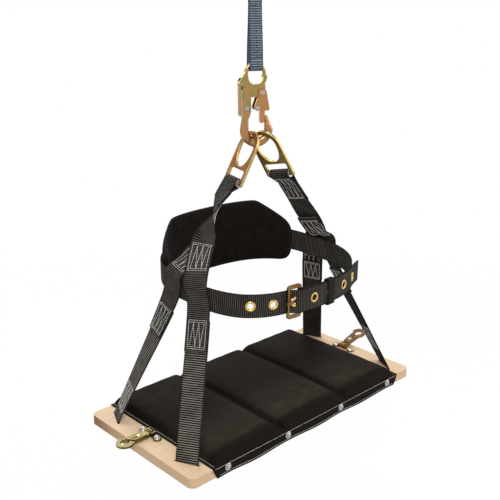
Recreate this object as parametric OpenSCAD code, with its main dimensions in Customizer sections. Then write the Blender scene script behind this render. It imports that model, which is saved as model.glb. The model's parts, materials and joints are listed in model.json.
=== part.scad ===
// Bosun's chair: a padded plank seat slung from two ring plates and a locking snap hook.
// Millimetres, Z up. The origin is the middle of the eye at the top of the lanyard.
// X runs along the seat board and +Y points to the back rest. Left is the -X side.

/* [Seat board] */
// Length of the board, left to right
board_l = 610; // [580:5:660]
// Depth of the board, front to back
board_d = 305; // [290:5:330]
// Thickness of the plywood
board_t = 19; // [16:1:24]
// Radius of the board's corners
board_r = 12; // [4:1:24]
// Distance of a strap slot's middle from the board's end
slot_in_x = 27.5; // [26:0.5:31]
// Distance of a strap slot's middle from the board's long edge
slot_in_y = 46; // [42:1:52]
// Turn of a strap slot away from the board's length, in degrees
slot_turn = 65; // [62:1:72]
// Room round the webbing in a slot
slot_room = 1.3; // [1:0.1:2]

/* [Cushion] */
// Distance of the cover's side hem from the board's end
cover_in = 46; // [46:0.5:52]
// Thickness of the vinyl cover
cover_t = 1.4; // [1:0.1:2]
// Height of the foam at its edges
foam_h = 17; // [12:1:24]
// Extra height of the foam in the middle
foam_crown = 6; // [0:1:10]
// Radius of the foam's rounded edges
foam_r = 16; // [10:1:22]
// Half width of the middle foam section
channel_x = 88; // [80:1:96]
// Width of the sewn channel between two sections
channel_w = 12; // [8:1:16]
// Width of the flat hem at each side of the cover
hem_w = 12; // [8:1:16]
// Width of the cover's flap under the board
flap_w = 18; // [12:1:20]
// Distance between neighbouring cover screws
screw_step = 150; // [140:1:156]

/* [Webbing] */
// Width of the black webbing
web_w = 44; // [40:1:46]
// Thickness of the black webbing
web_t = 2.4; // [2:0.1:2.8]
// Gap between two sewn layers of webbing
lap_gap = 0.5; // [0.4:0.1:0.8]

/* [Straps] */
// Distance of the left strap fork from the middle of the chair
fork_x = 141; // [136:1:146]
// Height of the left strap fork above the board's underside
fork_z = 357; // [352:1:362]
// Distance of the right strap fork from the middle of the chair
right_fork_x = 156; // [151:1:160]
// Height of the right strap fork above the board's underside
right_fork_z = 343; // [338:1:350]

/* [Ring plates] */
// Height from the bar to the outside of the top
ring_h = 100; // [97:1:103]
// Width of the rim round the eye
ring_rim = 8.5; // [7:0.5:9]
// Width of the eye
eye_w = 46; // [42:1:48]
// Thickness of the plate
ring_t = 5.5; // [5:0.25:5.5]
// Diameter of the bar
bar_d = 8; // [7:0.5:9]
// Wall of the sleeve on the bar
sleeve_t = 2; // [1.5:0.25:2.5]

/* [Snap hook] */
// Height of the hook's bowl above the board's underside
bowl_z = 534.5; // [532:0.5:537]
// Inner radius of the bowl
bowl_r = 15.5; // [15:0.25:16]
// Diameter of the bowl's round section
hook_d = 12.5; // [12:0.25:13]
// Thickness of the hook's flat body
hook_t = 12; // [10:0.5:13]
// Width of the hook's eye
hook_eye_w = 29; // [28:0.5:32]
// Width of the rim round the hook's eye
hook_rim = 7; // [6:0.5:8]
// Turn of the hook about the vertical, in degrees
hook_turn = -25; // [-30:1:-22]

/* [Lanyard] */
// Width of the lanyard's webbing
lanyard_w = 25; // [22:1:26]
// Thickness of the lanyard's webbing
lanyard_t = 2.4; // [2:0.1:3]
// Height of the top eye above the board's underside
hang_z = 822; // [800:1:860]
// Radius of the top eye
hang_r = 14; // [12:0.5:18]

/* [Belt] */
// Half width of the belt's loop
belt_a = 180; // [176:1:184]
// Half depth of the belt's loop
belt_b = 158; // [154:1:162]
// Height of the belt's middle above the board's underside
belt_z = 286; // [282:1:290]
// Rise of the belt at the back and fall at the front
belt_tilt = 13; // [6:1:16]
// Distance between neighbouring grommets
grommet_step = 43; // [42:0.5:44]
// Radius of a grommet's hole
grommet_r = 5.5; // [5:0.25:6]
// Thickness of the buckle's bars
buckle_bar = 4.5; // [4:0.25:5]
// Distance between the buckle's two upright bars
buckle_l = 27; // [26:1:32]

/* [Back pad] */
// Thickness of the pad in the middle
pad_t = 18; // [14:1:22]
// Height of the pad's lower edge above the board's underside
pad_low = 248; // [240:1:252]
// Height of the pad in the middle
pad_h = 128; // [115:1:140]
// Height of the pad's upper corners at its ends
pad_end_h = 76; // [66:1:90]

/* [Tool snaps] */
// Distance of the left snap's bar from the board's end
snap_in = 36.5; // [34:0.5:37]
// Distance of the right snap's bar from the board's end
right_in = 27; // [25:0.5:37]
// Distance of a snap's bar behind the middle of the board
snap_y = 11; // [0:1:25]
// Distance between the two screws of a bar loop
loop_step = 42; // [40:1:50]
// Outer radius of the snap's hook
snap_r = 16; // [15:0.5:17]
// Length from the bar to the middle of the snap's hook
snap_l = 56; // [52:1:60]
// Upward tilt of the right snap, in degrees
snap_tilt = 14; // [8:1:24]

/* [Hidden] */
$fn = 48;
// Clearance of turning pins, and gap that keeps soft or rigid neighbours apart
run = 0.06;
gap = 0.4;
slot_x = board_l / 2 - slot_in_x;
slot_y = board_d / 2 - slot_in_y;
cover_x = board_l / 2 - cover_in;
lay = web_t + lap_gap;
// Hook's place: the bowl's inner bottom, its round section and its middle line
hook_at = [-0.7, 14.7, bowl_z];
bowl_u = 3;
bowl_c = bowl_r + hook_d / 2;
bowl_more = 4;
hook_dir = [cos(hook_turn), sin(hook_turn), 0];
// Middle of each ring's rim where it hangs in the bowl, its rise and its bar direction
left_top = [-4.9, 13.8, bowl_z + 9.3];
left_rise = unit([0.407, -0.137, 0.903]);
left_bar = unit(square_to([0.21, 0.978, 0], left_rise));
right_top = [6.7, 8, bowl_z + 9.6];
right_rise = unit([-0.498, 0.079, 0.863]);
right_bar = unit(square_to([0.116, -0.967, 0.229], right_rise));
bar_drop = ring_h - ring_rim / 2;
left_at = left_top - left_rise * bar_drop;
right_at = right_top - right_rise * bar_drop;
sleeve_r = bar_d / 2 + sleeve_t;
fold_r = sleeve_r + lap_gap + web_t / 2;
leg_w = 8;
washer_t = 1.5;
leg_u = web_w / 2 + 2 * gap + washer_t + leg_w / 2 + 0.2;
fork_y = 5;
branch_end = 9;
branch_lift = 2.2;
// Turn of each branch strap half way down its leg, in degrees
left_leg_turn = -104;
right_leg_turn = -110;
belt_x = -8;
belt_y = -1;
belt_n = 2.6;
flange_t = 0.7;
belt_lay = web_t + flange_t + lap_gap;
hang_off = [-hook_at[0], -hook_at[1], -hang_z];
foam_low = board_t;
foam_x = cover_x - hem_w;
screw_z = 11;
screw_r = 2;
loop_t = 2.5;
loop_bar = 5;
snap_t = 4.5;
snap_eye_r = loop_bar / 2 + run + 3;
snap_z = snap_eye_r + gap;

// Vectors and places

function bar_x(side) = side * (board_l / 2 - (side > 0 ? right_in : snap_in));

function unit(v) = v / norm(v);
function square_to(v, axis) = v - axis * (v * axis);
function turn_to(deg) = [cos(deg), sin(deg), 0];
function part3(v, from) = [v[from], v[from + 1], v[from + 2]];
function mix(a, b, f) = a + (b - a) * f;
function signed_power(v, p) = sign(v) * pow(abs(v), p);

// A smooth curve through the points p, each a place and a width direction in six numbers
function curve_at(p, i, f) =
    let (
        a = p[max(i - 1, 0)],
        b = p[i],
        c = p[i + 1],
        d = p[min(i + 2, len(p) - 1)]
    )
    0.5 * ((2 * b) + (c - a) * f + (2 * a - 5 * b + 4 * c - d) * f * f
        + (3 * b - a - 3 * c + d) * f * f * f);
function curve(p, steps) = concat(
    [for (i = [0 : len(p) - 2], k = [0 : steps - 1]) curve_at(p, i, k / steps)],
    [p[len(p) - 1]]
);

// Frames of a strap along a curve: middle, width direction and face normal
function tangent(c, i) = unit(part3(c[min(i + 1, len(c) - 1)], 0) - part3(c[max(i - 1, 0)], 0));
function frames(c) = [
    for (i = [0 : len(c) - 1])
        let (t = tangent(c, i), w = unit(square_to(part3(c[i], 3), t)))
        [part3(c[i], 0), w, cross(t, w)]
];
function shifted(f, d) = [for (r = f) [r[0] + r[2] * d, r[1], r[2]]];
function turned_back(f) = [for (i = [len(f) - 1 : -1 : 0]) [f[i][0], f[i][1], -f[i][2]]];
function some(f, from, to) = [for (i = [from : to]) f[i]];

// A flat strap of width w and thickness t through the frames f
module strap(f, w, t) {
    n = len(f);
    points = [
        for (r = f, q = [[1, 1], [-1, 1], [-1, -1], [1, -1]])
            r[0] + r[1] * q[0] * w / 2 + r[2] * q[1] * t / 2
    ];
    sides = [
        for (i = [0 : n - 2], j = [0 : 3])
            let (a = 4 * i + j, b = 4 * i + (j + 1) % 4)
            each [[a, b + 4, b], [a, a + 4, b + 4]]
    ];
    last = 4 * (n - 1);
    ends = [[0, 1, 2], [0, 2, 3], [last, last + 2, last + 1], [last, last + 3, last + 2]];
    polyhedron(points, concat(sides, ends));
}

// Triangles that close a ring of k points, laid in strips from its ends to its middle
function cap(k, from) = concat(
    [
        for (j = [0 : floor(k / 2) - 2])
            each [
                [from + j, from + j + 1, from + k - 2 - j],
                [from + j, from + k - 2 - j, from + k - 1 - j]
            ]
    ],
    k % 2 == 1 ? [[from + (k - 3) / 2, from + (k - 1) / 2, from + (k + 1) / 2]] : []
);

// Closed skin over rings of points that are all alike, with flat end faces
module skin(rings) {
    n = len(rings);
    k = len(rings[0]);
    sides = [
        for (i = [0 : n - 2], j = [0 : k - 1])
            let (a = k * i + j, b = k * i + (j + 1) % k)
            each [[a, b + k, b], [a, a + k, b + k]]
    ];
    far = [for (c = cap(k, k * (n - 1))) [c[2], c[1], c[0]]];
    polyhedron([for (r = rings) each r], concat(sides, cap(k, 0), far));
}

module in_chair() {
    translate(hang_off) children();
}

// Places a shape drawn with X along u and Y along v
module on_axes(at, u, v) {
    w = cross(u, v);
    multmatrix([
        [u[0], v[0], w[0], at[0]],
        [u[1], v[1], w[1], at[1]],
        [u[2], v[2], w[2], at[2]]
    ]) children();
}

// Strap routes

function slot_at(sx, sy, z) = [sx * slot_x, sy * slot_y, z];
// The belt presses each leg outwards, so the leg stands off the belt's loop at its two edges
function leg_push(sx, sy, up) =
    let (
        y = leg_y[sx < 0 ? 0 : 1][sy < 0 ? 0 : 1] + sy * (up ? 0 : 8),
        room = sx == sy ? (up ? 5 : 5.6) : (up ? 2.6 : 4)
    )
    [belt_x + sx * (belt_plan(y) + web_t * room), y, belt_z + (up ? web_w / 2 + 4 : 2 - web_w / 2)];
leg_y = [[-42, 24], [-20, 20]];
function belt_plan(y) = belt_a * pow(1 - pow(abs(y - belt_y) / belt_b, belt_n), 1 / belt_n);
function fork(sx) = sx < 0 ? [-fork_x, fork_y, fork_z] : [right_fork_x, fork_y, right_fork_z];
function place(p, w) = concat(p, w);

// Main straps: from the ring's bar through a twist to the fork, then down one leg
left_start = left_at + unit(square_to(fork(-1) - left_at, left_bar)) * 28;
right_start = right_at + unit(square_to(fork(1) - right_at, right_bar)) * 28;
left_main_curve = curve([
    place(left_start, left_bar),
    place(mix(left_start, fork(-1), 0.30), turn_to(48)),
    place(mix(left_start, fork(-1), 0.54), turn_to(30)),
    place(mix(left_start, fork(-1), 0.78), turn_to(0)),
    place(fork(-1), turn_to(-42)),
    place(leg_push(-1, -1, true), turn_to(-64)),
    place(leg_push(-1, -1, false), turn_to(-66)),
    place(mix(leg_push(-1, -1, false), slot_at(-1, -1, board_t), 0.5), turn_to(-slot_turn)),
    place(slot_at(-1, -1, board_t), turn_to(-slot_turn))
], 5);
right_main_curve = curve([
    place(right_start, right_bar),
    place(mix(right_start, fork(1), 0.36), mix(right_bar, turn_to(-62), 0.36)),
    place(mix(right_start, fork(1), 0.70), turn_to(-58)),
    place(fork(1), turn_to(-60)),
    place(leg_push(1, 1, true), turn_to(-63)),
    place(leg_push(1, 1, false), turn_to(-64)),
    place(mix(leg_push(1, 1, false), slot_at(1, 1, board_t), 0.5), turn_to(-slot_turn)),
    place(slot_at(1, 1, board_t), turn_to(-slot_turn))
], 5);
left_main = frames(left_main_curve);
right_main = frames(right_main_curve);
left_fork_i = 20;
right_fork_i = 15;
// Branch straps: sewn by a short end to the main strap's face at the fork, then down the other leg
left_branch = branch(left_main, left_fork_i, -1, 1, left_leg_turn);
right_branch = branch(right_main, right_fork_i, 1, -1, right_leg_turn);
function branch(f, i, sx, sy, leg_turn) =
    let (
        high = leg_push(sx, sy, true),
        low = leg_push(sx, sy, false),
        slot = slot_at(sx, sy, board_t),
        start = f[i][0] + f[i][2] * sx * lay * branch_lift,
        bend = mix(f[i][0], high, 0.45) + f[i][2] * sx * lay * branch_lift * 0.86,
        back = unit(square_to(start - bend, f[i][2]))
    )
    frames(curve([
        place(start + back * branch_end, f[i][1]),
        place(start, f[i][1]),
        place(bend, mix(f[i][1], turn_to(-84), 0.15)),
        place(high, turn_to(-84)),
        place(low, turn_to(-88)),
        place(mix(low, slot, 0.5), turn_to(leg_turn)),
        place(slot, turn_to(slot_turn - 180))
    ], 5));

// Last frame of each upper strap on its leg, counted back from the slot, and the number of
// frames that the under strap runs beside it
leg_stop = 7;
leg_lap = 2;
function upper_part(f) = some(f, 0, len(f) - 1 - leg_stop);
// The under strap's end: beside the upper strap, then across to the middle of the slot
function riser(f, side) =
    let (n = len(f) - 1)
    [
        for (i = [n - leg_stop - leg_lap : n])
            let (d = lay * min(1, max(0, (n - 1 - i) / (leg_stop - 1.5))))
            place(f[i][0] + f[i][2] * side * d, f[i][1])
    ];
function backwards(v) = [for (i = [len(v) - 1 : -1 : 0]) v[i]];
// Under the board: down through one slot, along the diagonal and up through the other
function under_run(from, to, w, dip) =
    let (d = unit(to - from), low = -(web_t / 2 + 2 * gap), l = norm(to - from))
    [
        for (k = [[0, board_t / 2], [0, 1], [0.6, low / 2], [3, low], [25, low], [l / 2 - 110, low],
                [l / 2 - 72, low - dip], [l / 2, low - dip], [l / 2 + 72, low - dip],
                [l / 2 + 110, low], [l - 25, low], [l - 3, low], [l - 0.6, low / 2], [l, 1],
                [l, board_t / 2]])
            place([from[0], from[1], 0] + d * k[0] + [0, 0, k[1]], w)
    ];
under_a = concat(
    riser(left_main, -1),
    under_run(slot_at(-1, -1, 0), slot_at(1, 1, 0), turn_to(-slot_turn), 0),
    backwards(riser(right_main, 1))
);
under_b = concat(
    riser(left_branch, -1),
    under_run(slot_at(-1, 1, 0), slot_at(1, -1, 0), turn_to(slot_turn - 180), lay),
    backwards(riser(right_branch, 1))
);

// Frames of the fold round a ring's bar: the inner layer, the turn and the outer layer
function fold_frames(at, bar, f, n_lap) =
    let (down = unit(square_to(f[0][0] - at, bar)), out = cross(down, bar))
    concat(
        turned_back(shifted(some(f, 0, n_lap), -lay)),
        [
            for (a = [180 : -22.5 : 0])
                let (r = out * cos(a) - down * sin(a))
                [at + r * fold_r, bar, r]
        ],
        f
    );

// Belt: a rounded oval, higher at the back, measured along its length from the front middle
function belt_point(deg) = [
    belt_x + belt_a * signed_power(cos(deg), 2 / belt_n),
    belt_y + belt_b * signed_power(sin(deg), 2 / belt_n),
    belt_z + belt_tilt * sin(deg)
];
belt_turns = 120;
belt_angles = [for (i = [0 : belt_turns]) -90 + 360 * i / belt_turns];
function add_up(v, i = 0, sum = 0) =
    i == len(v) ? [] : concat([sum + v[i]], add_up(v, i + 1, sum + v[i]));
belt_steps = concat(
    [0],
    [for (i = [1 : belt_turns]) norm(belt_point(belt_angles[i]) - belt_point(belt_angles[i - 1]))]
);
belt_sums = add_up(belt_steps);
belt_length = belt_sums[belt_turns];
belt_table = [for (i = [0 : belt_turns]) [belt_sums[i], belt_angles[i]]];
function belt_deg(s) = lookup(s - belt_length * floor(s / belt_length), belt_table);
function belt_mid(s) = belt_point(belt_deg(s));
function belt_along(s) = unit(belt_mid(s + 2) - belt_mid(s - 2));
function belt_out(s) = unit(cross(belt_along(s), [0, 0, 1]));
function belt_up(s) = cross(belt_out(s), belt_along(s));
// Places along the belt of the buckle's bars, the grommets, the keeper and the free end
pivot_s = -43.5;
catch_s = pivot_s - buckle_l;
prong_s = (pivot_s + catch_s) / 2;
keeper_s = 28;
tail_s = 150;
// Length over which the tail rises to the buckle, its steeper end, and the step between sections
tail_run = 90;
catch_run = 48;
belt_step = 12;
bar_off = -(buckle_bar / 2 + lap_gap + web_t / 2);
catch_off = bar_off - (buckle_bar / 2 + gap + web_t / 2);
// Distance of the belt's middle line from the oval, by its length q from the buckle's pivot
belt_reach = belt_length - pivot_s + tail_s;
function belt_off(q) = lookup(q, [
    [0, 0],
    [belt_length - buckle_l - tail_run, 0],
    [belt_length - buckle_l - 4, catch_off],
    [belt_length - buckle_l + 3, catch_off],
    [belt_length - 3, belt_lay],
    [belt_length + belt_reach, belt_lay]
]);
belt_q = concat(
    [for (q = [belt_step / 2 : belt_step : belt_length - buckle_l - catch_run - belt_step]) q],
    [for (q = [belt_length - buckle_l - catch_run : belt_step * 2 / 3 : belt_length + belt_step]) q],
    [for (q = [belt_length + 2 * belt_step : belt_step : belt_length + tail_s - pivot_s]) q]
);
function belt_frame(q) =
    let (s = pivot_s + q, n = belt_out(s))
    [belt_mid(s) + n * belt_off(q), belt_up(s), n];
belt_fold_r = -bar_off;
pivot_at = belt_mid(pivot_s) + belt_out(pivot_s) * bar_off;
belt_frames = concat(
    [
        for (q = [34, 24, 15])
            let (f = belt_frame(q))
            [f[0] - f[2] * belt_lay, f[1], -f[2]]
    ],
    [
        for (a = [180 : -22.5 : 0])
            let (r = belt_out(pivot_s) * cos(a) - belt_along(pivot_s) * sin(a))
            [pivot_at + r * belt_fold_r, belt_up(pivot_s), r]
    ],
    [for (q = belt_q) belt_frame(q)]
);
grommets = [for (k = [-2 : 4]) prong_s + k * grommet_step];
function grommet_q(s) = s - pivot_s + belt_length;

// Cushion height over the board: three crowned sections with drawn-in sides
function round_edge(d) = d <= 0 ? 0 : d >= foam_r ? 1 : sqrt(1 - pow(1 - d / foam_r, 2));
function section_edge(x) =
    let (ax = abs(x), half = channel_w / 2)
    ax < channel_x ? channel_x - half - ax : min(ax - channel_x - half, foam_x - ax);
function crown(x, y) = foam_crown * (1 - pow(x / foam_x, 2) * 0.5) * (1 - pow(2 * y / board_d, 2));
channel_floor = 0.35;
function cushion(x, y) =
    let (
        across = round_edge(section_edge(x) + foam_r * 0.12),
        along = round_edge(board_d / 2 - abs(y) + 1),
        low = abs(x) < foam_x - foam_r ? channel_floor : 0
    )
    (foam_h + crown(x, y)) * max(across, low) * along;

// Lanyard and snap hook, drawn with X across the hook, Y up from its bowl and Z through it

module hook_space() {
    in_chair() translate(hook_at) rotate([90, 0, hook_turn]) children();
}

eye_low = 112.5;
eye_high = 117;
hook_eye_r = hook_eye_w / 2;
// The lanyard's fold turns about the middle of the eye's upper rim
swing_v = eye_high + hook_eye_r + 1;
swing_r = hook_rim + 1.2;
gate_at = [11, 83];
gate_pin_r = 2.5;
gate_cheek = 2;
gate_wide = hook_t / 2 + gap + gate_cheek;
knee_at = [-28, 101];
knee_pin_r = 1.8;
lever_t = 10;
wing_t = 14;
ear_r = 7.4;
spring_room = 3.5;
rivet_at = [-17, 55];
gate_rivet_at = [2, 55.5];

module lanyard_strap() {
    top_v = hang_z - bowl_z;
    t = lanyard_t;
    color("slategray") hook_space() rotate([0, 90, 0]) linear_extrude(lanyard_w, center = true)
        difference() {
            union() {
                translate([0, swing_v]) circle(swing_r + t);
                translate([0, top_v]) circle(hang_r + t);
                polygon([
                    [-swing_r - t, swing_v], [-t, swing_v + 34], [-t, top_v - 3.1 * hang_r],
                    [-0.8 * (hang_r + t), top_v - 0.6 * (hang_r + t)],
                    [0.8 * (hang_r + t), top_v - 0.6 * (hang_r + t)],
                    [t, top_v - 3.1 * hang_r], [t, swing_v + 34], [swing_r + t, swing_v]
                ]);
            }
            translate([0, swing_v]) circle(swing_r);
            polygon([[-swing_r, swing_v], [0, swing_v + 28], [swing_r, swing_v]]);
            translate([0, top_v]) circle(hang_r);
            polygon([
                [0, top_v - 1.28 * hang_r], [-0.62 * hang_r, top_v - 0.78 * hang_r],
                [0.62 * hang_r, top_v - 0.78 * hang_r]
            ]);
        }
}

module hook_plate() {
    side_u = bowl_u - bowl_c - hook_d / 2;
    difference() {
        union() {
            polygon([
                [side_u, 38], [side_u + hook_d, 38], [side_u + hook_d + 3.5, 50],
                [side_u + hook_d + 3.5, 76], [gate_at[0], gate_at[1] - ear_r],
                [gate_at[0] + ear_r, gate_at[1]], [gate_at[0] + ear_r, 97], [eye_low / 8, 102],
                [-eye_low / 8, 102], [side_u, 94]
            ]);
            translate(gate_at) circle(ear_r);
            translate([0, eye_low]) circle(hook_eye_r + hook_rim);
        }
        translate([0, eye_low]) circle(hook_eye_r);
        translate([-hook_eye_r, eye_low]) square([hook_eye_w, hook_eye_w + hook_rim]);
        translate([-hook_eye_r - hook_rim - 1, eye_low + 2]) square(2 * (hook_eye_r + hook_rim + 1));
    }
}

module hook_body() {
    rim_c = hook_eye_r + hook_rim / 2;
    color("darkgoldenrod") hook_space() difference() {
        union() {
            for (c = [bowl_c, bowl_c + bowl_more])
                translate([bowl_u, bowl_r]) rotate(180) rotate_extrude(angle = 180)
                    translate([c, 0]) circle(d = hook_d);
            translate([bowl_u, bowl_r]) rotate(180) rotate_extrude(angle = 180)
                translate([bowl_c, -hook_d / 2]) square([bowl_more, hook_d]);
            translate([bowl_u - bowl_c, bowl_r]) rotate([-90, 0, 0]) cylinder(d = hook_d, h = 30);
            // The bowl's deep section runs out into the limbs
            for (s = [[-1, 24], [1, limb_h]])
                translate([bowl_u + s[0] * (bowl_c + bowl_more), bowl_r]) {
                    sphere(d = hook_d);
                    rotate(s[0] * atan(bowl_more / s[1])) rotate([-90, 0, 0])
                        cylinder(d = hook_d, h = norm([bowl_more, s[1]]));
                    linear_extrude(hook_d, center = true)
                        polygon([[0, 0], [-s[0] * bowl_more, 0], [-s[0] * bowl_more, s[1]]]);
                }
            translate([bowl_u + bowl_c, bowl_r]) rotate([-90, 0, 0]) cylinder(d = hook_d, h = limb_h);
            translate([bowl_u + bowl_c, bowl_r + limb_h]) sphere(d = hook_d);
            translate([bowl_u + bowl_c, bowl_r + limb_h]) rotate(nose_lean) rotate([-90, 0, 0]) {
                cylinder(d1 = hook_d, d2 = nose_d, h = nose_l);
                translate([0, 0, nose_l]) sphere(d = nose_d);
            }
            linear_extrude(hook_t, center = true) hook_plate();
            translate([0, eye_high]) rotate_extrude(angle = 180)
                translate([rim_c, 0]) circle(d = hook_rim);
            for (s = [-1, 1])
                translate([s * rim_c, eye_low]) rotate([-90, 0, 0])
                    cylinder(d = hook_rim, h = eye_high - eye_low);
            linear_extrude(wing_t, center = true) polygon([
                [-hook_eye_r - 7, 94], [-hook_eye_r - 1, 104], [-hook_eye_r - 1, eye_high + 1.5],
                [-hook_eye_r + 1, eye_high + 9.5], [-hook_eye_r - 2, eye_high + 9.5], knee_at + [-4, 3],
                knee_at + [-4, -2], knee_at + [1, -5]
            ]);
        }
        // Fork for the lock lever, and slot for the gate's spring
        translate([knee_at[0] - 10, knee_at[1] - 12, -lever_t / 2 - gap])
            cube([16, 22, lever_t + 2 * gap]);
        translate([gate_at[0], gate_at[1], -spring_room]) cylinder(r = ear_r + 0.6, h = 2 * spring_room);
        translate([knee_at[0], knee_at[1], -wing_t]) cylinder(r = knee_pin_r, h = 2 * wing_t);
        translate([gate_at[0], gate_at[1], -hook_t]) cylinder(r = gate_pin_r, h = 2 * hook_t);
        translate([rivet_at[0], rivet_at[1], -hook_t]) cylinder(r = gate_pin_r, h = 2 * hook_t);
    }
}

// Round rivet through half the depth h on each side, with a flat head of radius r + 2
module rivet(r, h, head) {
    cylinder(r = r - run / 3, h = 2 * h, center = true);
    for (s = [0, 180])
        rotate([s, 0, 0]) translate([0, 0, h]) {
            cylinder(r = r + 2, h = head / 2);
            translate([0, 0, head / 2]) cylinder(r1 = r + 2, r2 = r + 0.8, h = head / 2);
        }
}

module hook_gate() {
    color("peru") hook_space() difference() {
        union() {
            for (s = [-1, 1])
                translate([0, 0, s * (gate_wide - gate_cheek / 2)])
                    linear_extrude(gate_cheek, center = true) polygon([
                        [4, 88.6], [8, 91], [14, 91], [19.8, 87], [26, 54], [25, 51], [12, 50.5],
                        [1.6, 52.5], [-3, 56], [-3, 60], [4, 78]
                    ]);
            linear_extrude(2 * gate_wide - gate_cheek, center = true)
                polygon([[23, 51], [26, 54], [21.5, 78], [19.2, 78]]);
            linear_extrude(2 * gate_wide - gate_cheek, center = true)
                polygon([[9.5, 50.6], [24, 51], [23.5, 56], [9.5, 56]]);
            linear_extrude(9, center = true)
                polygon([
                    [9.5, tongue_low + 2], [12, tongue_low], [nose_u, tongue_low + 2], [nose_u, 55], [9.5, 55]
                ]);
        }
        translate([gate_at[0], gate_at[1], -hook_t]) cylinder(r = gate_pin_r + run, h = 2 * hook_t);
        translate([gate_rivet_at[0], gate_rivet_at[1], -hook_t]) cylinder(r = gate_pin_r, h = 2 * hook_t);
    }
}
nose_u = bowl_u + bowl_c - hook_d / 2 - gap;
tongue_low = 27.5;
// Straight part of the hook's limb, and the tapered nose that leans in over it
limb_h = 8;
nose_l = 15;
nose_d = 7;
nose_lean = asin((hook_d - nose_d) / 2 / nose_l);

module hook_gate_pin() {
    color("silver") hook_space() translate(gate_at) rivet(gate_pin_r, gate_wide + gap / 2, 2);
}

module hook_rivet() {
    color("silver") hook_space() translate(rivet_at) rivet(gate_pin_r, hook_t / 2 + run, 2);
}

module hook_gate_rivet() {
    color("silver") hook_space() translate(gate_rivet_at) difference() {
        rivet(gate_pin_r, gate_wide + run, 2);
        cube([20, 20, 2 * (gate_wide - gate_cheek)], center = true);
    }
}

// Spring of the gate: three turns of wire round the pin
wire_r = 0.6;
coil_r = 4.2;
coil_turns = 3;
coil_pitch = 1.75;
coil_steps = 8;
coil = [
    for (i = [0 : coil_turns * coil_steps])
        let (a = 360 * i / coil_steps)
        [coil_r * cos(a), coil_r * sin(a), coil_pitch * (i / coil_steps - coil_turns / 2)]
];
coil_gap = min([
    for (i = [0 : len(coil) - 1 - coil_steps], j = [i + coil_steps - 2 : len(coil) - 1])
        norm(coil[i] - coil[j])
]) - 2 * wire_r;
echo(coil_gap = coil_gap);

module hook_gate_spring() {
    sides = 6;
    color("dimgray") hook_space() translate(gate_at) skin([
        for (i = [0 : len(coil) - 1])
            let (
                out = unit([coil[i][0], coil[i][1], 0]),
                t = unit([-out[1], out[0], coil_pitch / (2 * PI * coil_r)]),
                up = cross(t, out)
            )
            [
                for (k = [0 : sides - 1])
                    coil[i] + wire_r * (out * cos(360 * k / sides) + up * sin(360 * k / sides))
            ]
    ]);
}

module hook_lock() {
    color("goldenrod") hook_space() difference() {
        linear_extrude(lever_t, center = true) union() {
            translate(knee_at) circle(4);
            polygon([
                knee_at + [-3.8, 0], knee_at + [-3.2, -57], knee_at + [-2, -59], knee_at + [-0.2, -58],
                knee_at + [-0.4, -12], knee_at + [2, -3]
            ]);
        }
        translate([knee_at[0], knee_at[1], -wing_t]) cylinder(r = knee_pin_r + run, h = 2 * wing_t);
    }
}

module hook_lock_pin() {
    color("silver") hook_space() translate(knee_at)
        cylinder(r = knee_pin_r - run / 3, h = wing_t, center = true);
}

// Ring plates, drawn with X along the bar and Y up to the top of the eye

module ring_shape() {
    top_r = eye_w / 2 + ring_rim;
    top_y = ring_h - top_r;
    eye_low_y = 30;
    low_r = 15;
    low_y = eye_low_y + low_r;
    lean = asin((eye_w / 2 - low_r) / (top_y - low_y));
    foot = leg_u + leg_w / 2;
    foot_low = 4.5;
    window_y = 24;
    slot_u = leg_u - leg_w / 2;
    difference() {
        union() {
            translate([0, top_y]) circle(top_r);
            polygon([
                [-top_r, top_y], [-foot, 0], [-foot, -foot_low], [foot, -foot_low], [foot, 0], [top_r, top_y]
            ]);
        }
        translate([0, top_y]) circle(eye_w / 2);
        translate([0, low_y]) circle(low_r);
        polygon([
            for (k = [[1, eye_w / 2, top_y], [1, low_r, low_y], [-1, low_r, low_y], [-1, eye_w / 2, top_y]])
                [k[0] * k[1] * cos(lean), k[2] - k[1] * sin(lean)]
        ]);
        translate([-slot_u, -foot_low - 1]) square([2 * slot_u, window_y + foot_low + 1]);
    }
}

// Radius of the bar's turned-down ends in the plate's legs
tenon_r = 2.2;

module ring_plate(at, bar, rise) {
    boss_r = tenon_r + 1.4;
    color("goldenrod") in_chair() on_axes(at, bar, rise) difference() {
        union() {
            linear_extrude(ring_t, center = true) ring_shape();
            for (s = [-1, 1])
                translate([s * leg_u, 0, 0]) rotate([0, 90, 0])
                    cylinder(r = boss_r, h = leg_w, center = true);
        }
        rotate([0, 90, 0]) cylinder(r = tenon_r, h = 4 * leg_u, center = true);
    }
}

module ring_bar(at, bar, rise) {
    color("darkgoldenrod") in_chair() on_axes(at, bar, rise) rotate([0, 90, 0]) {
        cylinder(r = bar_d / 2 - run / 3, h = 2 * leg_u - leg_w - 2 * run, center = true);
        cylinder(r = tenon_r - run / 3, h = 2 * leg_u + leg_w, center = true);
    }
}

module bar_sleeve(at, bar, rise) {
    color("gray") in_chair() on_axes(at, bar, rise) rotate([0, 90, 0]) difference() {
        cylinder(r = sleeve_r, h = web_w, center = true);
        cylinder(r = bar_d / 2 + run, h = 2 * web_w, center = true);
    }
}

module bar_washers(at, bar, rise) {
    color("lightgray") in_chair() on_axes(at, bar, rise)
        for (s = [-1, 1])
            translate([s * (web_w / 2 + 2 * gap + washer_t / 2), 0, 0]) rotate([0, 90, 0]) difference() {
                cylinder(r = sleeve_r + 1.8, h = washer_t, center = true);
                cylinder(r = bar_d / 2 + run / 3, h = 2 * washer_t, center = true);
            }
}

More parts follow.
